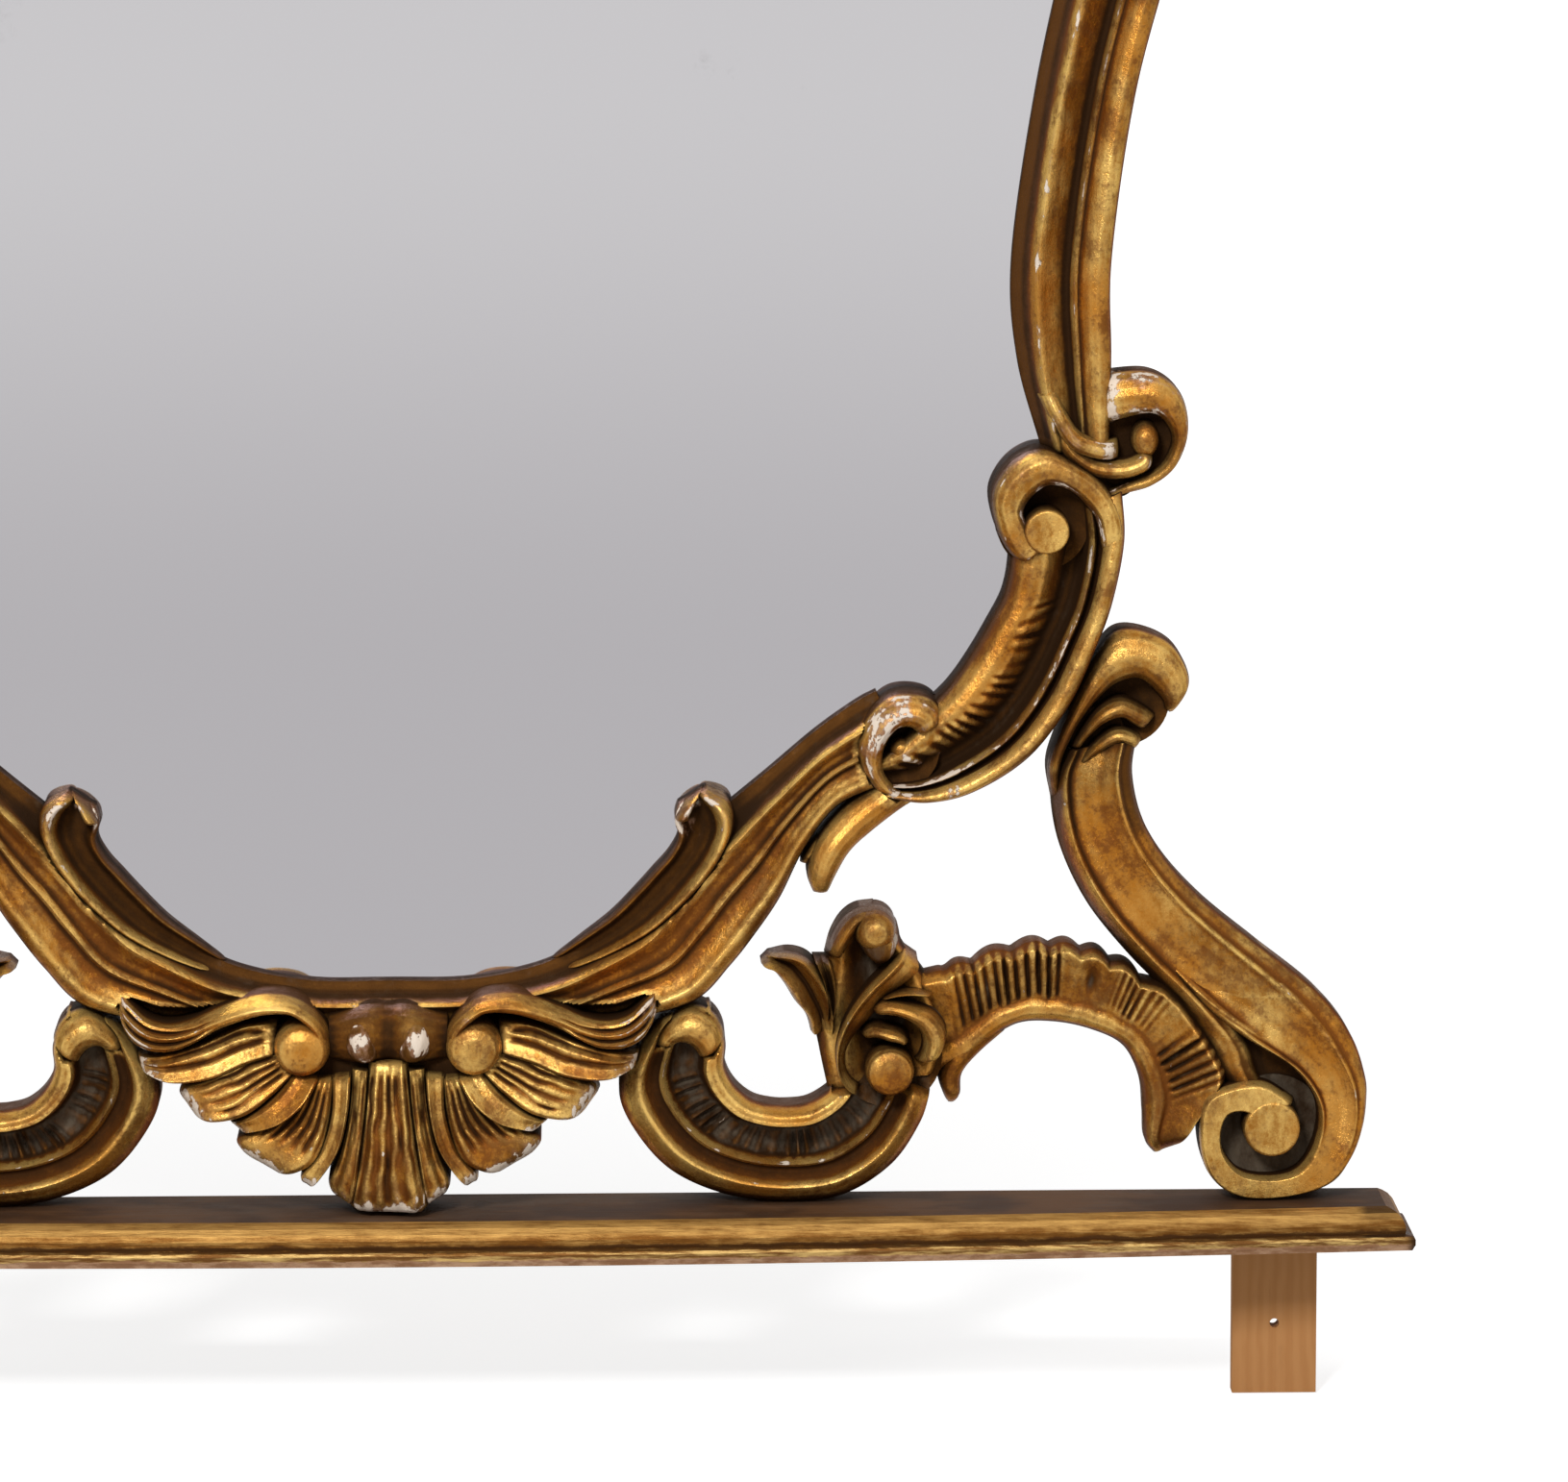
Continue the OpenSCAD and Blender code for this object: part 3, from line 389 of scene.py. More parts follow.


# The rail's moulding: a bright roll with a painted highlight on its top, a quirk darkened with painted shade, a
# rubbed bead and a bare lower edge.
def mouldingFinish():
    material, tree, shader = newFinish("giltMoulding")
    place = objectPlace(tree)
    spot = split(tree, place)
    streaks = noise(tree, stretched(tree, place, (0.07, 1.0, 1.0)), 420, 6, 0.72)
    blotches = noise(tree, stretched(tree, place, (0.4, 1, 1)), 130, 6, 0.7)
    ragged = times(tree, reckon(tree, "SUBTRACT", blotches, 0.5), moulding["ragged"])
    z = reckon(tree, "ADD", spot[2], ragged)
    lit = between(tree, spot[2], *moulding["lit"])
    tone = sumOf(tree, (streaks, 0.8), (blotches, 0.5), (lit, 0.2))
    colour = mixColour(tree, between(tree, tone, 0.55, 1.02), *moulding["gold"])
    # painted shade: the quirk is darkened and loses its gold
    quirkShade = times(tree, between(tree, z, *moulding["quirkFoot"]), between(tree, z, *moulding["quirkTop"]))
    colour = mixColour(tree, times(tree, quirkShade, 0.85), colour, moulding["quirkShade"])
    pale = mixColour(tree, between(tree, streaks, 0.42, 0.62), *moulding["pale"])
    colour = mixColour(tree, between(tree, z, *moulding["bead"]), colour, pale)
    bare = between(tree, z, *moulding["bare"])
    wood = mixColour(tree, between(tree, blotches, 0.40, 0.62), *moulding["wood"])
    colour = mixColour(tree, bare, colour, wood)
    # painted shade at both ends, and darker on the top near them
    out = reckon(tree, "ABSOLUTE", spot[0])
    facing = split(tree, addNode(tree, "TexCoord").outputs["Normal"])
    top = times(tree, between(tree, facing[2], 0.55, 0.85), between(tree, out, *moulding["darkerTop"]))
    undarkened = opposite(tree, times(tree, top, 0.85))
    undarkened = reckon(tree, "MINIMUM", between(tree, out, *moulding["end"]), undarkened)
    colour = mixColour(tree, undarkened, moulding["blackBrown"], colour)
    feed(tree, shader.inputs["Base Color"], colour)
    gilded = opposite(tree, reckon(tree, "MAXIMUM", bare, quirkShade), clamp=True)
    feed(tree, shader.inputs["Metallic"], times(tree, gilded, 0.5))
    feed(tree, shader.inputs["Roughness"], sumOf(tree, (streaks, 0.3), plus=0.22))
    shader.inputs["Specular IOR Level"].default_value = 0.08
    shader.inputs["Specular Tint"].default_value = (0.55, 0.34, 0.14, 1)
    bumped(tree, shader, sumOf(tree, (streaks, 0.6), (blotches, 0.5)), 0.0007)
    return material


def screwFinish():
    material, tree, shader = newFinish("dullSteel")
    rust = noise(tree, objectPlace(tree), 420, 5, 0.7)
    colour = mixColour(tree, between(tree, rust, 0.45, 0.62), (0.30, 0.29, 0.28, 1), (0.13, 0.06, 0.03, 1))
    feed(tree, shader.inputs["Base Color"], colour)
    feed(tree, shader.inputs["Metallic"], between(tree, rust, 0.62, 0.45))
    feed(tree, shader.inputs["Roughness"], sumOf(tree, (rust, 0.4), plus=0.25))
    bumped(tree, shader, rust, 0.0002)
    return material


giltCarving = giltFinish("giltCarving", rub=0.45, grimy=0.3, dusty=0.1, chipped=0.12)
giltShell = giltFinish("giltShell", rub=0.55, grimy=0.2, dusty=0.1, chipped=0.3)
giltBud = giltFinish("giltBud", rub=0.45, grimy=0.22, dusty=0.4, chipped=0.15)
giltDusty = giltFinish("giltDusty", rub=0.5, grimy=0.2, dusty=0.38, chipped=0.1)
giltMoulding = mouldingFinish()
shelfTop = woodFinish("shelfTop", (1, 1.3, 1.3), turn=math.pi / 2, light=(0.098, 0.045, 0.018, 1),
    dark=(0.040, 0.018, 0.008, 1), stain=(0.10, 0.077, 0.060, 1), stained=0.4)
rawBatten = woodFinish("rawBatten", (3, 3, 1), 0.00012, light=(0.50, 0.24, 0.088, 1),
    dark=(0.455, 0.208, 0.072, 1), stain=(0.23, 0.10, 0.04, 1), stained=0.12)
backPine = woodFinish("backPine", (7, 7, 1), light=(0.36, 0.23, 0.125, 1), dark=(0.20, 0.115, 0.055, 1),
    stain=(0.08, 0.055, 0.035, 1), stained=0.35)
bareBack = woodFinish("bareBack", (5, 5, 1.4), light=(0.26, 0.165, 0.09, 1), dark=(0.13, 0.075, 0.04, 1),
    stain=(0.05, 0.033, 0.022, 1), stained=0.5)
oldSilvering = mirrorFinish()
dullSteel = screwFinish()
print("finishes made")

# Carved members are lofted in millimetres, with heights above the shelf's top.
shelfHigh = 0.0215
heightFit = 1.00017         # from the drawn height to the carving's own
lofting = {
    "columns": 44, "step": 2.3,               # points across, and mm from ring to ring
    "crowded": 0.45,                          # how far the points across crowd to the edges
    "soft": 0.012,                            # share of the width that rounds a section's corners
    "endLow": 0.3,                            # height left where an end rounds off
    "sinkFrom": 0.4, "sinkOver": 4.2,         # mm over which a member sinks under its cover
    "lowFrom": 0.66, "lowOver": 0.26,         # below this height a member counts as lying low
    "least": 0.02, "outlineStep": 5,
}
carving = {
    "handWork": 0.25,                         # mm of unevenness
    "layer": 0.12, "piece": 0.03,             # mm from back to back, so that crossing members don't coincide
    "thinnest": 0.4, "blur": 3, "foldHigh": 0.9, "sharp": 52,
}


def smoothLine(line, step):
    p = np.array(line, float)
    p = np.vstack([2 * p[0] - p[1], p, 2 * p[-1] - p[-2]])
    rings = []
    for i in range(1, len(p) - 2):
        a, b, c, d = p[i - 1], p[i], p[i + 1], p[i + 2]
        reach = max(np.hypot(*(c - b)[:2]), np.hypot(*(c - b)[2:4]))
        count = max(2, int(math.ceil(reach / step)))
        for k in range(count):
            t = k / count
            rings.append(0.5 * (2 * b + (c - a) * t + (2 * a - 5 * b + 4 * c - d) * t * t
                + (3 * b - a - 3 * c + d) * t ** 3))
    rings.append(p[-2])
    return np.array(rings)


def softened(section, u, soft):
    fine = np.linspace(0, 1, 501)
    pts = np.array(section, float)
    value = np.interp(fine, pts[:, 0], pts[:, 1])
    reach = max(1, int(soft * 500 * 3))
    kernel = np.exp(-0.5 * (np.arange(-reach, reach + 1) / (soft * 500)) ** 2)
    padded = np.concatenate([np.full(reach, value[0]), value, np.full(reach, value[-1])])
    return np.interp(u, fine, np.convolve(padded, kernel / kernel.sum(), "valid"))


# Seeded noise on a square grid of cells, from -0.5 to 0.5.
def cellNoise(x, z, cell, seed):
    gx, gz = x / cell, z / cell
    ix, iz = np.floor(gx), np.floor(gz)
    fx, fz = gx - ix, gz - iz
    fx, fz = fx * fx * (3 - 2 * fx), fz * fz * (3 - 2 * fz)

    def corner(dx, dz):
        value = np.sin((ix + dx) * 127.1 + (iz + dz) * 311.7 + seed * 74.7) * 43758.5453
        return value - np.floor(value)

    low = corner(0, 0) * (1 - fx) + corner(1, 0) * fx
    high = corner(0, 1) * (1 - fx) + corner(1, 1) * fx
    return low * (1 - fz) + high * fz - 0.5


def wobble(x, z, seed):
    return cellNoise(x, z, 13, seed) + 0.45 * cellNoise(x, z, 5.5, seed + 3)


# 1 from low to high, falling softly to 0 outside.
def window(value, low, high, edge):
    rise = np.clip((value - low) / edge, 0, 1)
    fall = np.clip((high - value) / edge, 0, 1)
    return (rise * rise * (3 - 2 * rise)) * (fall * fall * (3 - 2 * fall))


# Distance to a closed outline, below nought inside it.
def distanceTo(x, z, outline):
    found = np.zeros(x.shape, bool)
    nearest = np.full(x.shape, 1e9)
    for i in range(len(outline)):
        (x0, z0), (x1, z1) = outline[i - 1], outline[i]
        run, rise = x1 - x0, z1 - z0
        length = run * run + rise * rise
        if length == 0:
            continue
        along = np.clip(((x - x0) * run + (z - z0) * rise) / length, 0, 1)
        nearest = np.minimum(nearest, np.hypot(x - x0 - along * run, z - z0 - along * rise))
        if z0 != z1:
            crosses = (z0 > z) != (z1 > z)
            found ^= crosses & (x < run * (z - z0) / rise + x0)
    return np.where(found, -nearest, nearest)


def outlineOf(line):
    rings = smoothLine(line, lofting["outlineStep"])
    return [tuple(r[:2]) for r in rings] + [tuple(r[2:4]) for r in rings[::-1]]


def circleOf(centre, r):
    turns = np.linspace(0, 2 * math.pi, 40)[:-1]
    return [(centre[0] + r * math.cos(a), centre[1] + r * math.sin(a)) for a in turns]


# One member: a strip of rings across, its heights as shares of the wood's thickness.
# toned and bare are worked out from the share across and the share along.
def loft(line, section, detail=None, ragged=None, columns=lofting["columns"], soft=lofting["soft"], ends=(5, 5),
        under=(), step=lofting["step"], lift=0.0, toned=None, bare=None):
    rings = smoothLine(line, step)
    mid = (rings[:, :2] + rings[:, 2:4]) / 2
    run = np.concatenate([[0], np.cumsum(np.hypot(*np.diff(mid, axis=0).T))])
    share = run[:, None] / run[-1]
    u = (1 - np.cos(np.pi * np.linspace(0, 1, columns))) * 0.5
    u = (1 - lofting["crowded"]) * np.linspace(0, 1, columns) + lofting["crowded"] * u
    a, b = rings[:, :2].copy(), rings[:, 2:4].copy()
    across = b - a
    wide = np.maximum(np.hypot(*across.T), 0.5)
    if ragged:
        grow = ragged(run / run[-1], run)
        a -= across / wide[:, None] * np.minimum(grow[0], wide * 0.4)[:, None]
        b += across / wide[:, None] * np.minimum(grow[1], wide * 0.4)[:, None]
    x = a[:, :1] + (b - a)[:, :1] * u[None]
    z = a[:, 1:] + (b - a)[:, 1:] * u[None]
    if isinstance(section, dict):        # sections that change from share to share of the length
        shares = sorted(section)
        cuts = np.array([softened(section[key], u, soft) for key in shares])
        place = np.interp(share[:, 0], shares, np.arange(len(shares)))
        low = np.minimum(place.astype(int), len(shares) - 2)
        part = (place - low)[:, None]
        shape = cuts[low] * (1 - part) + cuts[low + 1] * part
    else:
        shape = softened(section, u, soft)[None]
    h = shape * rings[:, 4:5]
    if detail:
        h = h + detail(u[None], share, run[:, None])
    fall = np.ones(len(run))
    for far, reach in ((run, ends[0]), (run[-1] - run, ends[1])):
        if reach:
            near = np.clip(far / reach, 0, 1)
            fall *= lofting["endLow"] + (1 - lofting["endLow"]) * np.sqrt(1 - (1 - near) ** 2)
    h = h * fall[:, None] + lift
    for outline, cap in under:
        near = (lofting["sinkFrom"] - distanceTo(x, z, outline)) / lofting["sinkOver"]
        near = np.clip(near, 0, 1)           # 1 well under the outline, 0 clear of it
        near = near * near * (3 - 2 * near)
        h = np.minimum(h, cap + (1.02 - cap) * (1 - near))
    # painted shade as well as old toning: a member is made darker where its section lies low
    lying = np.clip((lofting["lowFrom"] - shape) / lofting["lowOver"], 0, 1) + 0 * h
    return {"x": x, "z": z, "h": np.clip(h, lofting["least"], 1.0),
        "toned": lying + (toned(u[None], share) if toned else 0),
        "bare": 0 * h + (bare(u[None], share) if bare else 0)}


# A mark that changes across a member, along it, or both.
def acrossMark(*points):
    return lambda u, share: np.interp(u, *zip(*points)) + 0 * share


def alongMark(*points):
    return lambda u, share: np.interp(share, *zip(*points)) + 0 * u


def bothMarks(first, second):
    return lambda u, share: first(u, share) + second(u, share)


# A round form turned about an axis square to the wall: [share of the radius, height].
def turnedForm(centre, r, profile, squash=1.0, toned=0.0, bare=0.0):
    shares = np.array(profile, float)
    along, given = np.linspace(0, 1, 26), np.linspace(0, 1, len(shares))
    rr = np.interp(along, given, shares[:, 0]) * r
    hh = np.interp(along, given, shares[:, 1])
    angle = np.linspace(0, 2 * np.pi, 49)[:, None]
    x = centre[0] + rr[None] * np.cos(angle)
    z = centre[1] + rr[None] * np.sin(angle) * squash
    return {"x": x, "z": z, "h": np.clip(hh[None] + 0 * x, lofting["least"], 1.0), "closed": True,
        "toned": np.full(x.shape, toned), "bare": np.full(x.shape, bare)}


# A closed mesh of one carved piece. Its members overlap, as the cuts of one block do.
def buildPiece(node, members, piece, side=1):
    verts, faces, marks = [], [], []
    worn = {"fold": [], "toned": [], "bare": []}
    seed = (sum(ord(c) for c in node) % 17) * 0.37
    reach = carving["blur"]
    for order, member in enumerate(members):
        x, z, h = member["x"], member["z"], member["h"]
        n, m = x.shape
        base = carving["layer"] * order + carving["piece"] * seed
        depth = h * piece["thick"]
        depth = depth + carving["handWork"] * wobble(x, z, seed) * window(h, 0.05, 2, 0.3)
        depth = np.clip(depth, base + carving["thinnest"], piece["thick"])
        # how far a point stands above or below what is round it
        wideBlur = depth.copy()
        for axis in (0, 1):
            padded = np.pad(wideBlur, [(reach, reach) if k == axis else (0, 0) for k in (0, 1)], mode="edge")
            take = [slice(i, i + (n if axis == 0 else m)) for i in range(2 * reach + 1)]
            wideBlur = sum(padded[t] if axis == 0 else padded[:, t] for t in take) / (2 * reach + 1)
        given = {"fold": np.clip((depth - wideBlur) / carving["foldHigh"], -1, 1)}
        for mark in ("toned", "bare"):
            given[mark] = member.get(mark, np.zeros(x.shape)) + 0 * x
        first = len(verts)
        # is the grid wound so that its front faces -Y?
        i, j = n // 2, m // 2
        downX, downZ = x[i, j] - x[i - 1, j], z[i, j] - z[i - 1, j]
        cross = downX * (z[i, j] - z[i, j - 1]) - downZ * (x[i, j] - x[i, j - 1])
        flip = (cross > 0) == (side > 0)
        isOpen = not member.get("closed")
        full = m + 2 if isOpen else m + 1
        for r in range(n):
            row = [(x[r, c], depth[r, c], z[r, c]) for c in range(m)]
            if isOpen:         # the two side walls start at the back
                row.append((x[r, -1], base, z[r, -1]))
            verts += [(x[r, 0], base, z[r, 0])] + row
        for mark, value in given.items():
            worn[mark].append(np.pad(value, [(0, 0), (1, int(isOpen))], mode="edge").ravel())
        for r in range(n - 1):
            here, there = first + r * full, first + (r + 1) * full
            for c in range(full - 1):
                q = [here + c, here + c + 1, there + c + 1, there + c]
                faces.append(q if flip else q[::-1])
                marks.append(0)
            if isOpen:
                q = [here + full - 1, here, there, there + full - 1]
                faces.append(q if flip else q[::-1])
                marks.append(1)
        if isOpen:
            for r, turn in ((0, True), (n - 1, False)):
                q = [first + r * full + c for c in range(full)]
                faces.append(q[::-1] if flip == turn else q)
                marks.append(0)
        else:         # the back of a turned form
            q = [first + r * full for r in range(n - 1)]
            faces.append(q if flip else q[::-1])
            marks.append(1)
    points = np.array(verts)
    made = bpy.data.meshes.new(node)
    spots = np.empty_like(points)
    spots[:, 0] = points[:, 0] * side / 1000
    spots[:, 1] = (piece["back"] - points[:, 1]) / 1000
    spots[:, 2] = shelfHigh + points[:, 2] * heightFit / 1000
    made.from_pydata(spots.tolist(), [], faces)
    made.polygons.foreach_set("material_index", np.array(marks, np.int32))
    made.polygons.foreach_set("use_smooth", np.ones(len(faces), bool))
    for mark, parts in worn.items():
        layer = made.attributes.new(mark, "FLOAT", "POINT")
        layer.data.foreach_set("value", np.concatenate(parts).astype(np.float32))
    made.update()
    made.set_sharp_from_angle(angle=math.radians(carving["sharp"]))
    made.materials.append(piece["finish"])
    made.materials.append(bareBack)
    thing = bpy.data.objects.new(node, made)
    scene.collection.objects.link(thing)
    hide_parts(node)
    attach(thing, "root")


# Outlines are moved as the solids move theirs.
def turned(p, start, k, flip, angle, to):
    qx, qz = (p[0] - start[0]) * k, flip * (p[1] - start[1]) * k
    c, s = math.cos(math.radians(angle)), math.sin(math.radians(angle))
    return [to[0] + qx * c - qz * s, to[1] + qx * s + qz * c]


def placedBy(start, k, flip, angle, to):
    def move(thing):
        if isinstance(thing[0], (list, tuple)):
            return [move(list(s[:2])) + move(list(s[2:4])) + [s[4]] for s in thing]
        return turned(thing, start, k, flip, angle, to)
    return move


def asDrawn(thing):
    return thing


echoSize, crestSize = 1.144, 1.35
echoHigh = 819 + echoSize * 421
above = placedBy([0, 0], echoSize, -1, 0, [0, echoHigh])             # the lower frame turned over
crestHigh = above([0, 99])[1] + crestSize * 104
crowned = placedBy([0, 0], crestSize, -1, 0, [0, crestHigh])         # the shell as the crest
eared = placedBy([157, 105], 1.1, -1, -79, above([166, 106]))        # the apron's scroll beside the crest
sprouted = placedBy([261, 57], 1, 1, -30, above([291, 218]))         # the bud on the shoulder

# Outlines in mm, heights above the shelf: edge A, edge B, share of the relief.
arcLine = [[0, 119, 0, 83, .85], [41, 119.5, 45, 85, .9], [79, 127, 95, 91, .95], [107, 141, 127, 100, 1],
    [128, 157, 161, 110, 1], [144, 176, 180, 129, 1], [158, 194, 194, 147, 1], [176, 210, 206, 165, 1],
    [199, 229, 219, 191, 1], [225, 251, 236, 213, .95], [246, 266, 260, 224, .9], [257, 272, 275, 233, .85]]
lipLine = [[153, 214, 167, 222, .85], [151, 205, 179, 216, 1], [153, 196, 182, 206, 1], [148, 186, 179, 194, 1],
    [140, 177, 172, 181, .95], [130, 166, 160, 166, .9], [117, 153, 141, 148, .8], [101, 141, 118, 134, .6],
    [86, 130, 94, 124, .4]]
dropLine = [[268, 234, 282, 218, .75], [253, 223, 270, 211, .8], [238, 212, 254, 199, .9],
    [225, 196, 243, 189, 1], [220, 179, 236, 177, .9], [224, 165, 231, 165, .6]]
stileLine = [[393, 845, 432, 851, .8], [383, 806, 435, 806, .9], [373, 738, 429, 741, .95],
    [356, 662, 411, 664, 1], [340, 586, 391, 587, 1], [328, 500, 379, 502, 1], [331, 447, 379, 448, .95],
    [344, 399, 378, 394, .8]]
stileHookLine = [[340, 431, 350, 434, .9], [347, 416, 356, 421, 1], [357, 401, 363, 411, 1],
    [372, 395, 374, 407, .95], [385, 395, 384, 407, .75]]
stileRollLine = [[349, 418, 356, 420, .7], [352, 400, 361, 405, .85], [367, 387, 372, 397, .9],
    [385, 385, 385, 396, .9], [399, 390, 393, 399, .9], [402, 400, 394, 402, .8]]
stileCurlLine = [[373, 441, 374, 413, .8], [399, 442, 397, 419, .95], [415, 431, 406, 416, .9],
    [420, 411, 411, 406, .8], [414, 392, 407, 395, .75], [401, 381, 400, 389, .7], [385, 376, 387, 384, .65],
    [372, 370, 376, 378, .6]]
cornerLine = [[324, 357, 385, 379, .75], [327, 345, 386, 353, .9], [324, 325, 380, 321, .9],
    [315, 307, 371, 296, .9], [305, 290, 357, 266, .9], [295, 276, 336, 239, .9], [283, 264, 308, 221, .85],
    [269, 249, 284, 215, .8], [258, 240, 262, 217, .7]]
cornerCurlLine = [[386.5, 345, 374, 343, .9], [384.5, 366, 371, 363, .95], [375, 384, 366, 371, .95],
    [360, 395, 358, 379, 1], [343, 402, 347, 382, 1], [327, 395, 338, 376, 1], [317, 379, 334, 368, .985],
    [319, 361, 338, 360, .98], [326, 347, 341, 354, .98], [335, 341, 346, 350, .96]]
cornerHookLine = [[290, 255, 279, 251, .95], [289, 267, 274, 255, 1], [279, 273, 267, 254, 1],
    [264, 272, 262, 247, 1], [252, 261, 260, 239, .95], [246, 244, 261, 231, .9], [253, 225, 266, 224, .8],
    [269, 214, 272, 220, .7]]
footLine = [[356, 240, 394, 246, .8], [350, 226, 392, 228, .9], [351, 203, 397, 205, .9],
    [357, 181, 409, 183, .95], [370, 156, 430, 160, 1], [390, 131, 458, 137, 1], [411, 109, 489, 112, 1],
    [431.5, 84, 508, 88, .95], [437, 71, 516, 61, .9], [446, 57, 517, 45, .85]]
footCurlLine = [[397, 131, 458, 137, .96], [420, 108, 489, 112, 1], [449, 88, 508, 88, 1],
    [474, 73, 516, 66, 1], [487, 58, 517, 52, 1], [491, 44, 515, 36, .99], [488, 28, 509, 21, .98],
    [480, 16, 498, 8, .96], [466, 12, 475, 1, .95], [450, 15, 450, 1, .95], [441, 26, 434, 12, .96],
    [440, 38, 428, 33, .98], [444, 46, 431, 54, .99], [452, 47, 446, 62, .985], [459, 42, 463, 63, .98],
    [464, 36, 480, 52, .97]]
footHeadLine = [[350, 212, 356, 213, .7], [347, 232, 355, 233, .85], [352, 250, 361, 249, .9],
    [360, 269, 368, 260, .92], [370, 289, 375, 268, .95], [382, 304, 383, 275, 1], [398, 304, 394, 278, 1],
    [414, 295, 402, 273, 1], [422, 276, 408, 266, .95], [413, 258, 409, 261, .7]]
footRollLine = [[358, 241, 364, 240, .7], [366, 254, 369, 247, .85], [374, 264, 377, 254, .9],
    [385, 269, 386, 257, .9], [396, 265, 393, 253, .85], [406, 258, 398, 250, .7]]
footLowRollLine = [[361, 232, 367, 232, .65], [371, 245, 374, 238, .78], [382, 253, 384, 243, .82],
    [392, 251, 390, 242, .78], [399, 245, 394, 239, .6]]
scrollLine = [[169, 106, 145, 103, .9], [177, 88, 127, 83, 1], [177, 74, 121, 60, .95], [182, 63, 130, 38, .9],
    [191, 55, 149, 17, .9], [201, 52, 178, 4, .9], [211, 51.5, 210, 0, .9], [221, 53, 240, 4, .9],
    [231, 59, 265, 20, .9], [237, 66, 280, 42, .9], [241, 74, 286, 60, .85]]
scrollBulbLine = [[137, 82, 149, 83, .8], [143, 97, 153, 86, .92], [157, 108, 158, 85, 1],
    [171, 103, 161, 82, 1], [177, 90, 163, 79, .95], [172, 79, 164, 77, .7]]
budLine = [[232, 57, 290, 66, .7], [227, 81, 296, 88, .75], [224, 101, 290, 109, .75], [229, 121, 280, 125, .7],
    [232, 135, 271, 137, .8], [238, 147, 268, 148, .95], [246, 155, 260, 155, .75]]
budLeafLine = [[223, 88, 235, 88, .6], [220, 99, 236, 100, .7], [214, 107, 234, 112, .8],
    [208, 117, 229, 122, .85], [202, 124, 221, 131, .85], [197, 126, 211, 134, .8], [196, 128, 200, 132, .6]]
budSpiralLine = [[272, 135, 279, 130, .8], [266, 131, 279, 124, .95], [260, 125, 272, 118, 1],
    [253, 118, 262, 110, 1], [245, 108, 254, 100, .98], [238.5, 96, 246, 91, .95], [235.5, 84, 241, 82, .95],
    [236, 72, 240.5, 73.5, .95], [240, 64, 243.5, 67, .95], [247, 58, 249, 62, .85]]
budCurlLine = [[252, 106, 256, 100, .8], [262, 111, 264, 101, .95], [277, 108, 272, 99, 1],
    [288, 103, 279, 93, 1], [294, 93, 281, 86, 1], [292, 81, 279, 79, .95], [286, 74, 276, 76, .8]]
budRollLine = [[247, 91, 250, 87, .7], [254, 96.5, 257, 88.5, .85], [263, 96, 263.5, 87, .95],
    [271, 93, 269, 86, .95], [276, 86, 271, 83, .8]]
archLine = [[286, 64, 279, 120, .8], [304, 71, 296, 124, .9], [316, 83, 310, 129, .95], [332, 93, 329, 135, 1],
    [350, 94, 352, 137, 1], [370, 90, 380, 130, 1], [388, 81, 407, 112, 1], [397, 63, 429, 83, 1],
    [399, 45, 439, 61, .95], [400, 30, 427, 39, .9], [406, 21, 419, 27, .7]]
archDropLine = [[308, 94, 327, 90, .6], [296, 81, 312, 77, .65], [290, 67, 303, 66, .65],
    [293, 55, 302, 55, .6], [296, 49, 299, 49, .4]]
frondLine = [[29, 92, 41, 97, .9], [31, 100, 43, 101, .95], [38, 109, 48, 106, 1], [49, 116, 54, 108, 1],
    [64, 118, 66, 107, 1], [78, 115, 78, 103, .98], [91, 110, 90, 98, .95], [104, 104, 101, 92, .95],
    [115, 102, 112, 88, .95], [126, 105, 124, 88, .95], [135, 113, 134, 93, .9], [141, 117, 142, 107, .75]]
lobeLines = [ [[56, 104, 58, 85, .74], [77, 101.5, 75, 80, .8], [98, 92.5, 94, 73, .88], [119, 87, 115, 72, .9],
    [133, 85, 131, 78, .7]], [[54, 89, 48, 77, .8], [73, 83, 59, 65, .85], [93, 75, 74, 54, .9],
    [107, 70, 92, 50, .85], [111, 62, 104, 53, .6]], [[48, 80, 35, 75, .85], [59, 66, 43, 61, .95],
    [73, 55, 57, 50, .95], [85, 49, 78, 43, .75]], [[42, 76, 28, 75, .8], [55, 58, 30, 51, .85],
    [71, 46, 36, 31, .9], [80, 40, 47, 23, .85], [74, 28, 59, 20, .65]], [[30, 76, 19, 77, .85],
    [30, 56, 21, 56, .95], [36, 36, 26, 36, .95], [46, 23, 37, 19, .9], [46, 14, 43, 14, .65]],
    [[19, 80, 10, 80, .8], [21, 56, 12, 55, .85], [26, 34, 15, 31, .9], [32, 19, 18, 9, .85],
    [29, 7, 22, 5, .7]]]
tongueLine = [[-10, 84, 10, 84, .85], [-13, 54, 13, 54, .95], [-17, 26, 17, 26, 1], [-21, 9, 21, 9, .95],
    [-17, 0, 17, 0, .85]]
bridgeLine = [[-31, 106, -31, 80, .8], [-12, 111, -12, 78, .95], [0, 111, 0, 79, .85], [12, 111, 12, 78, .95],
    [31, 106, 31, 80, .8]]
shellEdge = [[30, 100], [37, 110], [52, 116], [68, 116], [86, 112], [105, 110], [121, 111], [135, 116],
    [143, 111], [136, 95], [133, 85], [131, 78], [111, 62], [104, 53], [85, 49], [78, 43], [74, 28], [59, 20],
    [46, 14], [22, 5], [17, 0]]
shellWeb = [[31.5, 75.2], [34, 103], [87, 105], [125, 98], [104, 84], [88, 62], [60, 48], [40, 23]]

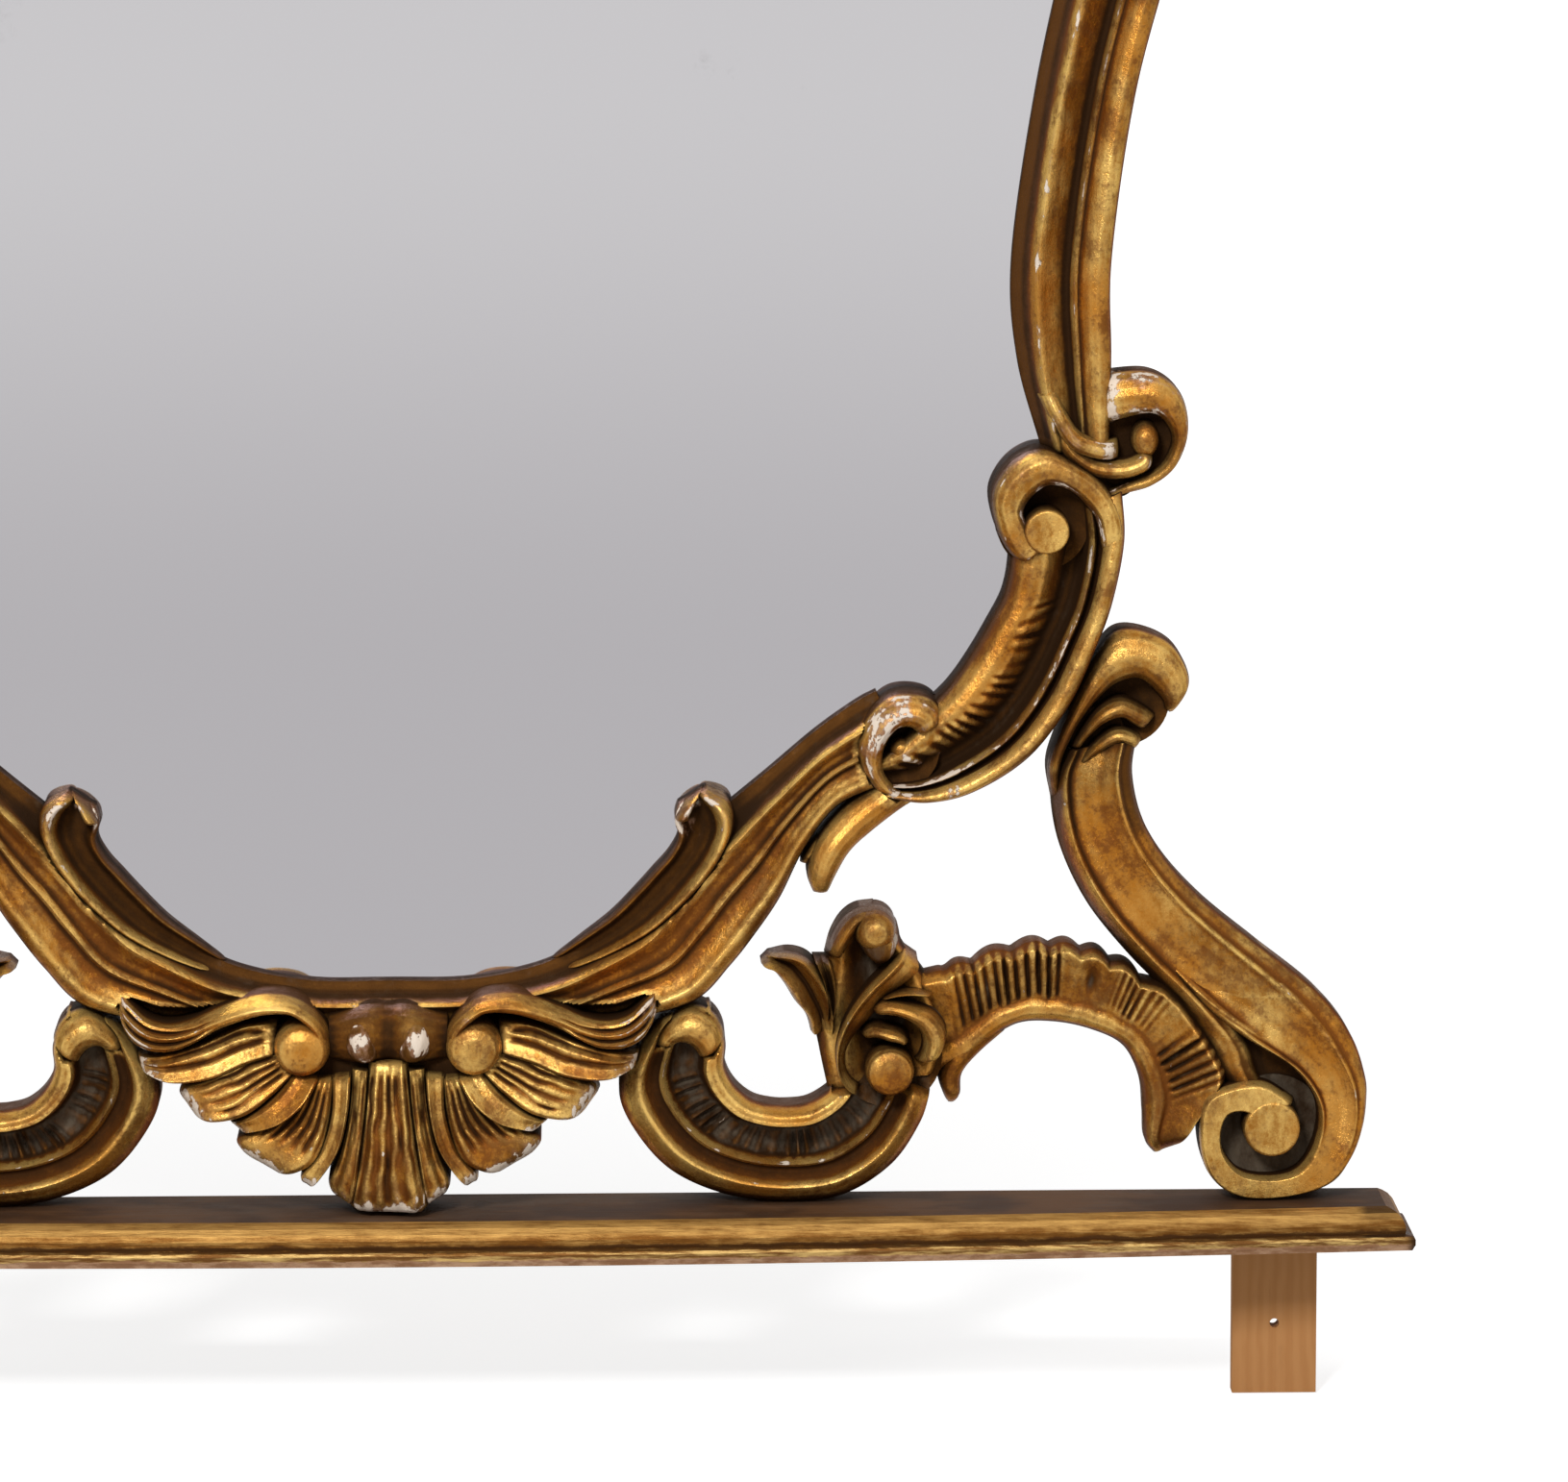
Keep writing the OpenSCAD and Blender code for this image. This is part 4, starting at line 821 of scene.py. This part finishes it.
# Sections across the members: share of the width, share of the relief.
stileSection = [[0, .14], [.05, .24], [.13, .42], [.2, .8], [.235, .98], [.27, .93], [.34, .8], [.45, .62],
    [.54, .5], [.585, .5], [.61, .7], [.63, .78], [.65, .66], [.69, .74], [.78, .9], [.86, .95], [.93, .9],
    [.98, .8], [1, .66]]
arcSection = [[0, .2], [.06, .22], [.14, .3], [.21, .5], [.25, .88], [.275, .98], [.31, .88], [.4, .76],
    [.5, .73], [.56, .84], [.58, .9], [.605, .74], [.7, .74], [.81, .85], [.86, .94], [.91, .88], [.97, .74],
    [1, .56]]
cornerSection = [[0, .34], [.04, .6], [.1, .84], [.2, .9], [.31, .84], [.4, .62], [.52, .34], [.64, .3],
    [.685, .5], [.71, .8], [.74, .86], [.765, .6], [.79, .5], [.815, .84], [.87, .98], [.93, 1], [.975, .9],
    [1, .72]]
footSection = [[0, .36], [.06, .6], [.11, .84], [.155, .99], [.175, .99], [.2, .8], [.26, .76], [.4, .75],
    [.6, .82], [.77, .93], [.8, 1], [.815, .98], [.84, .88], [.92, .84], [.97, .76], [1, .62]]
footBandSection = [[0, .62], [.05, .9], [.085, 1], [.11, 1], [.14, .88], [.2, .83], [.45, .82], [.62, .87],
    [.75, .95], [.78, 1], [.795, .98], [.82, .88], [.91, .84], [.97, .74], [1, .6]]
scrollSection = [[0, .5], [.03, .8], [.08, .93], [.15, .93], [.185, .97], [.205, .66], [.25, .5], [.4, .46],
    [.53, .56], [.57, .78], [.595, .88], [.615, .72], [.68, .7], [.74, .8], [.785, .97], [.805, 1], [.84, .96],
    [.92, .86], [1, .64]]
archSection = [[0, .42], [.05, .6], [.12, .72], [.22, .74], [.3, .66], [.45, .72], [.75, .88], [.92, 1],
    [1, .62]]
flankSection = [[0, .42], [.03, .66], [.08, .76], [.2, .8], [.25, .76], [.28, .42], [1, .4]]
rollSection = [[0, .5], [.05, .7], [.16, .87], [.34, .97], [.5, 1], [.66, .97], [.84, .87], [.95, .7], [1, .5]]
fluteSection = [[0, .4], [.08, .78], [.16, .96], [.26, .86], [.5, .62], [.74, .84], [.86, 1], [.93, .86],
    [1, .4]]
lobeSection = [[0, .72], [.06, .84], [.2, .9], [.5, .92], [.74, .97], [.86, 1], [.95, .92], [1, .72]]
frondSection = [[0, .5], [.08, .76], [.24, .94], [.42, 1], [.62, .95], [.8, .86], [.94, .7], [1, .5]]
frondTipSection = [[0, .5], [.08, .76], [.2, .78], [.29, .74], [.36, .94], [.52, .9], [.6, .86], [.7, 1],
    [.9, .86], [1, .5]]
budSection = [[0, .4], [.08, .62], [.2, .66], [.34, .5], [.5, .4], [.64, .46], [.78, .62], [.9, .7], [1, .4]]
spiralSection = [[0, .5], [.05, .88], [.12, 1], [.2, .97], [.35, .84], [.7, .74], [1, .6]]
flatProfile = [[1, .3], [1, .8], [.985, .92], [.95, .975], [.88, 1], [.5, 1], [0, 1]]
bandSection = [[0, .5], [.03, .82], [.07, .95], [.13, 1], [.87, 1], [.93, .95], [.97, .82], [1, .5]]
buttonProfile = [[1, .3], [1, .6], [.97, .78], [.9, .89], [.75, .96], [.4, 1], [0, 1]]
ballProfile = [[1, .3], [1, .5], [.95, .68], [.85, .82], [.7, .91], [.45, .98], [.2, 1], [0, 1]]


def eye(centre, r, high, profile=flatProfile, squash=1.0, **marks):
    return turnedForm(centre, r, [[share, high * v] for share, v in profile], squash=squash, **marks)


# The sunk floor of a volute.
def dish(centre, r, high, toned=0.9):
    return turnedForm(centre, r, [[1, high * .3], [1, high], [.9, high * .96], [.6, high * .8], [.3, high * .7],
        [0, high * .66]], toned=toned)


# Ripples cut across a member, uneven in width, depth and slant.
def comb(pitch, u0, u1, deep, lean, start, stop, seed, sharp, fade=0.09):
    def detail(u, share, run):
        drift = 1.1 * pitch * cellNoise(run, run * 0 + seed, pitch * 2.3, seed)
        slant = lean * u * pitch * (1 + 0.8 * cellNoise(run, run * 0, pitch * 3, seed + 9))
        wave = 0.5 - 0.5 * np.cos(2 * np.pi * (run + drift + slant) / pitch)
        strength = np.clip(0.75 + 1.3 * cellNoise(run, u * 9, pitch * 1.4, seed + 5), 0.1, 1.3)
        part = window(share, start, stop, 0.05)
        edge = 0.06 * cellNoise(run, run * 0, pitch * 0.8, seed + 2)
        return deep * strength * (0.35 - wave ** sharp) * window(u + edge, u0, u1, fade) * part
    return detail


# Fine ribs that run along a member.
def ribbed(count, deep, u0=0.0, u1=1.0, stop=1.0):
    def detail(u, share, run):
        drift = 0.35 * cellNoise(u * 40, run, 9, count)
        uneven = 1 + 1.2 * cellNoise(u * 60, run, 14, count + 4)
        waves = deep * uneven * np.cos(2 * np.pi * (count * u + drift))
        return waves * window(share, 0.04, stop, 0.12) * window(u, u0, u1, 0.1)
    return detail


# Each piece's dictionary gives where its back stands (mm), how thick its wood is (mm) and its finish.
corner = {
    "back": 30, "thick": 38, "finish": giltCarving,
    "eye": [344, 361], "hookEye": [269, 242], "ripple": 8, "rippleDeep": .15,
    "curl": [[0, .45], [.04, .72], [.12, .9], [.3, .99], [.5, 1], [.72, .97], [.84, .9], [.93, .8], [1, .5]],
    "tones": acrossMark([.08, 0], [.3, -.25], [.4, -.15], [.5, 0], [.7, 0], [.78, .3], [.82, -.4], [.86, 0]),
    "chips": bothMarks(acrossMark([.67, 0], [.7, .4], [.755, .4], [.78, 0]),
        alongMark([.7, 0], [.85, .4], [1, .5])),
    "curlTones": acrossMark([0, .3], [.2, -.1], [.7, -.1], [.95, .6]),
    "curlChips": bothMarks(acrossMark([0, .1], [.7, .1], [.85, .5], [1, .4]), alongMark([.2, 0], [.6, .1])),
    "hookChips": alongMark([0, .2], [.3, .75], [.7, .5], [1, .7]),
}


# Where the corner and the shell lie over their neighbours.
def cornerCover(place, k):
    lines = [(outlineOf(place(line)), 0.2) for line in (cornerLine, cornerCurlLine, cornerHookLine)]
    return lines + [(circleOf(place(corner["eye"]), 16 * k), 0.2),
        (circleOf(place(corner["hookEye"]), 21 * k), 0.2)]


def shellCover(place):
    half = [place(p) for p in shellEdge]
    return [([tuple(p) for p in half] + [(-p[0], p[1]) for p in half[::-1]], 0.3)]


stile = {
    "back": 30, "thick": 35, "finish": giltCarving,
    "dishes": (([391, 406], 26, .43), ([383, 385], 9.5, .5)), "ball": [397, 406], "ballSize": 7.5,
    "chips": acrossMark([.2, 0], [.23, .35], [.28, 0], [.6, 0], [.63, .65], [.66, 0]),
    "tones": acrossMark([.2, 0], [.235, -.45], [.28, 0], [.6, 0], [.63, -.4], [.655, .4], [.7, 0]),
    "hookChips": alongMark([0, .3], [.4, .42], [1, .5]),
    "curlChips": bothMarks(alongMark([0, .5], [.3, .4], [.55, .25], [.8, .6], [1, .4]),
        acrossMark([.2, .2], [.5, -.2], [.8, .2])),
}


def makeStile(side, node):
    under = cornerCover(asDrawn, 1) + cornerCover(above, echoSize)
    members = [loft(stileLine, stileSection, columns=56, ends=(0, 4), under=under, bare=stile["chips"],
        toned=stile["tones"])]
    for place, k in ((asDrawn, 1), (above, echoSize)):
        members += [
            loft(place(stileHookLine), rollSection, ends=(3, 6), under=under, bare=stile["hookChips"]),
            loft(place(stileCurlLine), rollSection, ends=(4, 4), under=under, bare=stile["curlChips"]),
            loft(place(stileRollLine), rollSection, ends=(4, 5), under=under,
                toned=alongMark([0, .5], [.7, .1]), bare=alongMark([0, .3], [1, .4])),
            *(dish(place(centre), r * k, high) for centre, r, high in stile["dishes"]),
            eye(place(stile["ball"]), stile["ballSize"] * k, 0.85, profile=ballProfile, squash=1.3)]
    buildPiece(node, members, stile, side)


def makeCorner(side, place, k, node):
    ruffle = comb(corner["ripple"], .2, .56, corner["rippleDeep"], 2.4, .24, .97, side, 1.5, .17)
    under = [(circleOf(place([351, 364]), 16 * k), 0.4), (outlineOf(place(cornerHookLine[1:6])), 0.4)]
    members = [
        loft(place(cornerLine), cornerSection, columns=72, detail=ruffle, ends=(0, 0), under=under,
            bare=corner["chips"], toned=corner["tones"], step=1.3),
        loft(place(cornerCurlLine), corner["curl"], ends=(14, 4), toned=corner["curlTones"],
            bare=corner["curlChips"]),
        loft(place(cornerHookLine), rollSection, ends=(4, 4), bare=corner["hookChips"]),
        dish(place(corner["eye"]), 24 * k, 0.4),
        eye(place([345, 359.5]), 12 * k, 1.0),
        dish(place(corner["hookEye"]), 21 * k, 0.4),
        eye(place([270, 243]), 7 * k, 0.7, profile=ballProfile)]
    buildPiece(node, members, corner, side)


arc = {
    "back": 30, "thick": 35, "finish": giltCarving,
    "tones": acrossMark([0, .2], [.2, .2], [.25, 0], [.275, -.5], [.31, 0], [.45, .15], [.54, .1], [.58, -.4],
        [.605, .4], [.66, .1], [.7, 0]),
}


def makeArc(side, place, k, node, shellPlace):
    under = cornerCover(place, k) + shellCover(shellPlace) + [(outlineOf(place(lipLine)), 0.3),
        (outlineOf(shellPlace(bridgeLine)), 0.3)]
    members = [loft(place(arcLine), arcSection, columns=60, ends=(0, 0), under=under, toned=arc["tones"],
        step=1.5)]
    buildPiece(node, members, arc, side)


lip = {
    "back": 30, "thick": 38, "finish": giltCarving,
    "section": [[0, .4], [.04, .56], [.08, .5], [.2, .38], [.45, .36], [.64, .5], [.75, .9], [.82, 1],
        [.92, .93], [1, .6]],
    "bead": [[166, 222, 157, 216, .6], [160, 211, 152, 209, .9], [158, 204, 151, 205, .8]],
    "chips": alongMark([0, .6], [.16, .4], [.26, .05]),
}


def makeLip(side, place, node):
    members = [
        loft(place(lipLine), lip["section"], columns=52, soft=.035, ends=(6, 8), bare=lip["chips"]),
        loft(place(lip["bead"]), rollSection, bare=alongMark([0, .45]))]
    buildPiece(node, members, lip, side)


drop = {
    "back": 30, "thick": 35, "finish": giltCarving,
    "blade": [[236, 207, 240, 202, .5], [225, 197, 231, 193, .7], [218, 187, 224, 185, .6],
        [217, 181, 220, 180, .4]],
}


def makeDrop(side, node):
    under = cornerCover(asDrawn, 1)
    members = [
        loft(dropLine, rollSection, ends=(0, 5), under=under),
        loft(drop["blade"], rollSection, ends=(0, 3), under=under)]
    buildPiece(node, members, drop, side)


shell = {
    "back": 30, "thick": 57, "finish": giltShell, "ball": [45, 90], "ballSize": 15, "webHigh": 0.56,
    "lobeRibs": (ribbed(3, .022, 0, .62), ribbed(5, .02, 0, .8, .8), None, ribbed(6, .02, .04, .96, .72), None,
        ribbed(2, .018)),
    "tipChips": alongMark([.76, 0], [.92, .5], [1, .7]),
    "frondChips": alongMark([.1, .35], [.3, .1], [.75, .1], [.9, .6]),
}


def mirrored(member, hand):
    return member if hand > 0 else {**member, "x": -member["x"]}


def makeShell(place, k, node):
    frond = {0: rollSection, .3: rollSection, .5: frondSection, .72: frondTipSection, 1: frondTipSection}
    members = []
    for hand in (1, -1):
        half = [loft(place(frondLine), frond, columns=52, ends=(0, 6), toned=alongMark([0, .1], [.3, -.4]),
            bare=shell["frondChips"])]
        for line, ribs in zip(lobeLines, shell["lobeRibs"]):
            half.append(loft(place(line), lobeSection, detail=ribs, ends=(3, 5), bare=shell["tipChips"]))
        half.append(eye(place(shell["ball"]), shell["ballSize"] * k, 0.97, profile=buttonProfile, toned=-.2))
        members += [mirrored(member, hand) for member in half]
    members.append(loft(place(tongueLine), lobeSection, columns=60, detail=ribbed(5, .022), ends=(3, 4),
        bare=shell["tipChips"]))
    members.append(webForm([place(p) for p in shellWeb]))
    buildPiece(node, members, shell)


# The sunk ground between the lobes: a fan from the middle of the web.
def webForm(half):
    ring = [tuple(p) for p in half] + [(-p[0], p[1]) for p in half[::-1]]
    ring = np.array(ring + ring[:1])
    middle = ring[:-1].mean(0)
    shares = np.linspace(1, 0, 9)[None]
    x = middle[0] + (ring[:, :1] - middle[0]) * shares
    z = middle[1] + (ring[:, 1:] - middle[1]) * shares
    h = np.full(x.shape, shell["webHigh"])
    h[:, 0] = 0.05
    return {"x": x, "z": z, "h": h, "closed": True, "toned": np.full(x.shape, 1.1)}


bridge = {
    "back": 30, "thick": 51.3, "finish": giltCarving,
    "petal": [[3, 110, 24, 107, .7], [3, 100, 26, 96, .97], [3, 88, 23, 86, 1], [5, 80, 16, 79, .8]],
    "petalChips": bothMarks(alongMark([.25, 0], [.5, .4], [.8, .15]),
        acrossMark([.1, 0], [.3, .2], [.8, .2], [1, 0])),
}


# The block between the shell's two balls: a dark bar with two chipped petals over it.
def makeBridge(place, node):
    members = [loft(place(bridgeLine), rollSection, ends=(0, 0), toned=alongMark([0, .7]))]
    petal = loft(place(bridge["petal"]), rollSection, ends=(4, 4), toned=alongMark([0, .75]),
        bare=bridge["petalChips"])
    members += [mirrored(petal, hand) for hand in (1, -1)]
    buildPiece(node, members, bridge)


apronScroll = {"back": 42, "thick": 42, "finish": giltDusty}
crestScroll = {"back": 30, "thick": 35, "finish": giltCarving}
scroll = {                   # what both have
    "ribs": 6.5, "ribDeep": .09, "chips": acrossMark([.53, 0], [.59, .35], [.63, 0]),
    "tones": acrossMark([0, -.2], [.1, -.4], [.17, -.4], [.185, -.7], [.2, .2], [.26, .5], [.5, .5], [.58, -.5],
        [.6, -.6], [.63, .1], [.76, 0], [.795, -.8], [.82, -.4], [.9, -.3], [1, 0]),
}


def makeScroll(side, place, node, piece, under):
    ribs = comb(scroll["ribs"], .22, .58, scroll["ribDeep"], .15, .16, .9, side + 2, .9, .12)
    bulb = [(outlineOf(place(scrollBulbLine)), 0.6)]
    members = [
        loft(place(scrollLine), scrollSection, columns=64, detail=ribs, ends=(4, 4), under=under + bulb,
            toned=scroll["tones"], bare=scroll["chips"], step=1.5),
        loft(place(scrollBulbLine), rollSection, ends=(6, 6), under=under)]
    buildPiece(node, members, piece, side)


bud = {
    "back": 42, "thick": 46, "finish": giltBud, "dish": [264, 78], "dishSize": 28,
    "knobAt": [263.7, 72.2], "knobSize": 13, "tip": [256, 146.8], "tipSize": 11.4,
    "ridge": [[258, 110.5, 259, 108.5, .8], [265, 113.5, 265.5, 111, .86], [273, 114.7, 273, 112, .87],
        [281, 114, 280.5, 111.5, .84], [288, 112, 287, 110, .7]],
    "fold": [[223.5, 130, 233, 130, .78], [228, 120, 235.5, 118, .86], [230.5, 108, 236, 106, .84],
        [231, 95, 233, 94, .7]],
    "hood": [[256, 158.5, 255, 150, .72], [246, 157, 249, 149, .86], [238.5, 151.5, 246, 145, .9],
        [233, 142, 242, 138, .86], [230, 131, 238, 128, .7]],
    "tail": [[246, 149, 267, 148, .84], [247, 141, 268.5, 140, .94], [251, 133, 266, 132, .86],
        [256, 127, 260, 126, .7]],
    "knob": [[1, .4], [1, .7], [.95, .86], [.85, .95], [.6, .99], [0, 1]],
    "tailTones": acrossMark([0, 1.1], [.6, .8], [.8, .3], [1, .1]),
    "tailChips": bothMarks(acrossMark([.72, -.8], [.84, .45], [1, .5]),
        alongMark([0, -.4], [.2, .45], [.7, .4], [1, -.4])),
}


def makeBud(side, place, node, piece, under):
    members = [
        loft(place(budLine), budSection, ends=(3, 5), under=under, toned=acrossMark([0, -.2])),
        loft(place(budLeafLine), fluteSection, ends=(3, 4), under=under,
            toned=acrossMark([0, -.2], [.5, 0], [1, -.1])),
        loft(place(bud["hood"]), rollSection, ends=(4, 8), under=under, toned=alongMark([0, .4])),
        loft(place(bud["fold"]), fluteSection, ends=(4, 8), under=under,
            toned=acrossMark([0, -.1], [.3, .3], [.7, .3], [1, -.1])),
        loft(place(budSpiralLine), spiralSection, ends=(6, 4),
            toned=acrossMark([.05, -.1], [.12, -.6], [.2, -.2], [1, 0])),
        loft(place(budCurlLine), rollSection, ends=(6, 5), toned=acrossMark([0, .3], [.3, -.3], [.8, -.2])),
        loft(place(budRollLine), rollSection, ends=(5, 5)),
        loft(place(bud["ridge"]), rollSection, ends=(4, 4)),
        loft(place(bud["tail"]), rollSection, ends=(8, 6), toned=bud["tailTones"], bare=bud["tailChips"]),
        dish(place(bud["dish"]), bud["dishSize"], 0.45),
        eye(place(bud["knobAt"]), bud["knobSize"], 1.0, profile=bud["knob"]),
        eye(place(bud["tip"]), bud["tipSize"], 1.0, profile=ballProfile, toned=.12)]
    buildPiece(node, members, piece, side)


arch = {
    "back": 42, "thick": 30, "finish": giltDusty,
    "pitAt": (.455, .62), "pitSize": (.014, .17), "pitDeep": .09,      # shares along and across
    "scallop": 17, "scallopDeep": 3.6, "footRim": 4.8,                 # mm
    "acrossTones": ([.24, .4, .7, .9], [0, .55, .4, .05]),
    "alongTones": ([.05, .1, .36, .42, .7, .75, .86], [0, 1, .8, .1, .4, 1.2, .6]),
}


def makeArch(side, node):
    combs = [
        comb(5.8, .3, 1.02, .15, .4, .07, .40, side + 4, 2.0),
        comb(3.6, .34, .96, .08, .3, .50, .67, side + 7, 1.0),
        comb(5.4, .3, 1.02, .13, .4, .68, .87, side + 11, 1.7)]

    def pit(u, share, deep):
        (far, over), (long, wide) = arch["pitAt"], arch["pitSize"]
        return deep * np.exp(-((share - far) / long) ** 2 - ((u - over) / wide) ** 2)

    def carved(u, share, run):
        return sum(cut(u, share, run) for cut in combs) - pit(u, share, arch["pitDeep"])

    # the rim reaches the foot's flank, so the scallops end before it
    def rim(share, run):
        part, deep = window(share, .05, .66, .05), arch["scallopDeep"]
        outer = deep * np.abs(np.sin(np.pi * run / arch["scallop"] + 0.6 * np.sin(run * 0.07))) * part
        return 0 * run, outer - deep * 0.6 * part + arch["footRim"] * window(share, .58, .9, .08)

    # how much darker the arch is made, in bands along and across it and in its pit
    def archTones(u, share):
        low = np.interp(u, *arch["acrossTones"]) * np.interp(share, *arch["alongTones"])
        return low + pit(u, share, .7) - .35 * np.exp(-((u - .13) / .06) ** 2)

    members = [
        loft(archLine, archSection, columns=60, detail=carved, ragged=rim, ends=(3, 8),
            bare=acrossMark([.02, .3], [.1, 0]), toned=archTones, step=0.95),
        loft(archDropLine, rollSection, ends=(3, 8), toned=alongMark([0, .3]))]
    buildPiece(node, members, arch, side)


foot = {
    "back": 42, "thick": 34, "finish": giltCarving,
    "volute": [468, 36], "voluteSize": 29, "voluteDirt": 2.2, "eye": [466.2, 39], "eyeSize": 15.2,
    "headDishes": (([387, 267], 25, .43), ([374, 249], 14, .5)),
    "flank": {0: footSection, .72: footSection, .84: flankSection, 1: flankSection},
    "band": {0: footSection, .1: footSection, .26: footBandSection, .38: footBandSection, .52: bandSection,
        1: bandSection},
    "flankTones": bothMarks(acrossMark([0, .1], [.13, -.2], [.165, -.6], [.19, .4], [.26, -.3], [.3, -.55],
        [.77, -.4], [.805, -.6], [.83, .2], [.86, .2], [1, .3]),
        alongMark([0, 1], [.12, .75], [.24, .1], [.72, 0], [.85, .35], [1, .8])),
    "bandTones": acrossMark([0, .1], [.07, -.2], [.1, -.6], [.14, .4], [.2, -.55], [.76, -.5], [.785, -.6],
        [.82, .1], [1, .1]),
    "bandChips": acrossMark([.77, 0], [.8, .3], [.83, 0]),
    "headTones": bothMarks(alongMark([0, .6], [.3, .35], [.5, 0]), acrossMark([.55, 0], [1, .5])),
    "lowestTone": -.4,       # of the band once it is smooth
}


def makeFoot(side, node):
    under = cornerCover(asDrawn, 1)

    def curlTones(u, share):
        smooth = np.interp(share, [.38, .5], [0, 1])
        return foot["bandTones"](u, share) * np.interp(share, [.38, .5], [1, 0]) + foot["lowestTone"] * smooth

    members = [
        loft(footLine, foot["flank"], columns=60, ends=(0, 0), under=under + [(circleOf([468, 38], 27), 0.4)],
            toned=foot["flankTones"]),
        loft(footCurlLine, foot["band"], columns=56, ends=(40, 4), lift=.004, toned=curlTones,
            bare=foot["bandChips"]),
        loft(footHeadLine, rollSection, ends=(24, 5), under=under, toned=foot["headTones"]),
        loft(footRollLine, rollSection, ends=(3, 5), under=under, toned=alongMark([0, .7], [.5, .3], [1, .3])),
        loft(footLowRollLine, rollSection, ends=(3, 5), under=under, toned=alongMark([0, .7], [.6, .2])),
        dish(foot["volute"], foot["voluteSize"], 0.43, toned=foot["voluteDirt"]),
        eye(foot["eye"], foot["eyeSize"], 1.0),
        *(dish(*spot) for spot in foot["headDishes"])]
    buildPiece(node, members, foot, side)


for side, hand in ((1, "_right"), (-1, "_left")):
    makeStile(side, "stile" + hand)
    makeCorner(side, asDrawn, 1, "corner_scroll" + hand)
    makeCorner(side, above, echoSize, "shoulder_scroll" + hand)
    makeArc(side, asDrawn, 1, "lower_arc" + hand, asDrawn)
    makeArc(side, above, echoSize, "top_arc" + hand, crowned)
    makeLip(side, asDrawn, "lower_lip_leaf" + hand)
    makeLip(side, above, "upper_lip_leaf" + hand)
    makeDrop(side, "drop_leaf" + hand)
    makeScroll(side, asDrawn, "apron_scroll" + hand, apronScroll, shellCover(asDrawn)
        + [(outlineOf(budLine), 0.3)])
    makeScroll(side, eared, "crest_scroll" + hand, crestScroll, cornerCover(above, echoSize)
        + shellCover(crowned) + [(outlineOf(above(arcLine)), 0.3)])
    makeBud(side, asDrawn, "leafy_bud" + hand, bud, [])
    makeBud(side, sprouted, "shoulder_leaf" + hand, {**bud, "back": 30}, cornerCover(above, echoSize))
    makeArch(side, "ribbed_arch" + hand)
    makeFoot(side, "foot_scroll" + hand)
makeShell(asDrawn, 1, "apron_shell")
makeShell(crowned, crestSize, "crest_shell")
makeBridge(asDrawn, "apron_bridge")
makeBridge(crowned, "crest_bridge")
print("carving made")


# These pieces keep their solid.
def dress(names, finish):
    for name in names:
        mesh = nodes[name].data
        mesh.materials.clear()
        mesh.materials.append(finish)


dress(["rail_board"], shelfTop)
dress(["rail_front_moulding", "rail_end_moulding_left", "rail_end_moulding_right"], giltMoulding)
dress(["batten_left", "batten_right"], rawBatten)
dress(["backing_bottom", "backing_left", "backing_right", "backing_top", "glass_blocks"], backPine)
dress(["backboard_lower", "backboard_middle", "backboard_upper"], backPine)
dress(["mirror_plate"], oldSilvering)
dress(["batten_screws", "lap_screws", "backboard_screws"], dullSteel)
print("solids dressed")


def makeFloor():
    low, size = cadBox[0][2] - studio["floorDrop"], studio["floorSize"]
    mesh = bpy.data.meshes.new("floor")
    mesh.from_pydata([(-size, -size, low), (size, -size, low), (size, size, low), (-size, size, low)], [],
        [(0, 1, 2, 3)])
    thing = bpy.data.objects.new("floor", mesh)
    scene.collection.objects.link(thing)
    material, tree, shader = newFinish("paleFloor")
    shader.inputs["Base Color"].default_value = (studio["floorGrey"],) * 3 + (1,)
    shader.inputs["Roughness"].default_value = 0.9
    shader.inputs["Specular IOR Level"].default_value = 0.0
    path = addNode(tree, "LightPath")
    # the lamps fade with distance, and the floor's own glow makes up for it
    away = addNode(tree, "VectorMath", operation="LENGTH")
    feed(tree, away.inputs[0], objectPlace(tree))
    glow = addNode(tree, "MapRange", clamp=True, interpolation_type="SMOOTHSTEP")
    feed(tree, glow.inputs[0], away.outputs[1])
    for i, key in enumerate(("glowFrom", "glowTo", "nearGlow", "farGlow")):
        glow.inputs[i + 1].default_value = studio[key]
    shader.inputs["Emission Color"].default_value = (1, 1, 1, 1)
    feed(tree, shader.inputs["Emission Strength"], times(tree, path.outputs["Is Camera Ray"], glow.outputs[0]))
    # the plate sees plain white instead
    plain = addNode(tree, "Emission")
    either = addNode(tree, "MixShader")
    mirrored = reckon(tree, "MAXIMUM", path.outputs["Is Glossy Ray"], path.outputs["Is Transmission Ray"])
    feed(tree, either.inputs[0], mirrored)
    tree.links.new(shader.outputs[0], either.inputs[1])
    tree.links.new(plain.outputs[0], either.inputs[2])
    tree.links.new(either.outputs[0], tree.nodes["Material Output"].inputs[0])
    mesh.materials.append(material)


# Lights the object dimly, and looks white itself.
def makeRoom():
    world = bpy.data.worlds.new("paleRoom")
    scene.world = world
    world.use_nodes = True
    tree = world.node_tree
    light = tree.nodes["Background"]
    path = addNode(tree, "LightPath")
    seen = reckon(tree, "MAXIMUM", path.outputs["Is Camera Ray"], path.outputs["Is Glossy Ray"])
    seen = reckon(tree, "MAXIMUM", seen, path.outputs["Is Transmission Ray"])
    light.inputs[0].default_value = (1, 1, 1, 1)
    feed(tree, light.inputs[1], sumOf(tree, (seen, 1 - studio["room"]), plus=studio["room"]))


makeFloor()
makeRoom()
scene.view_settings.view_transform = "Standard"
print("floor and room made")
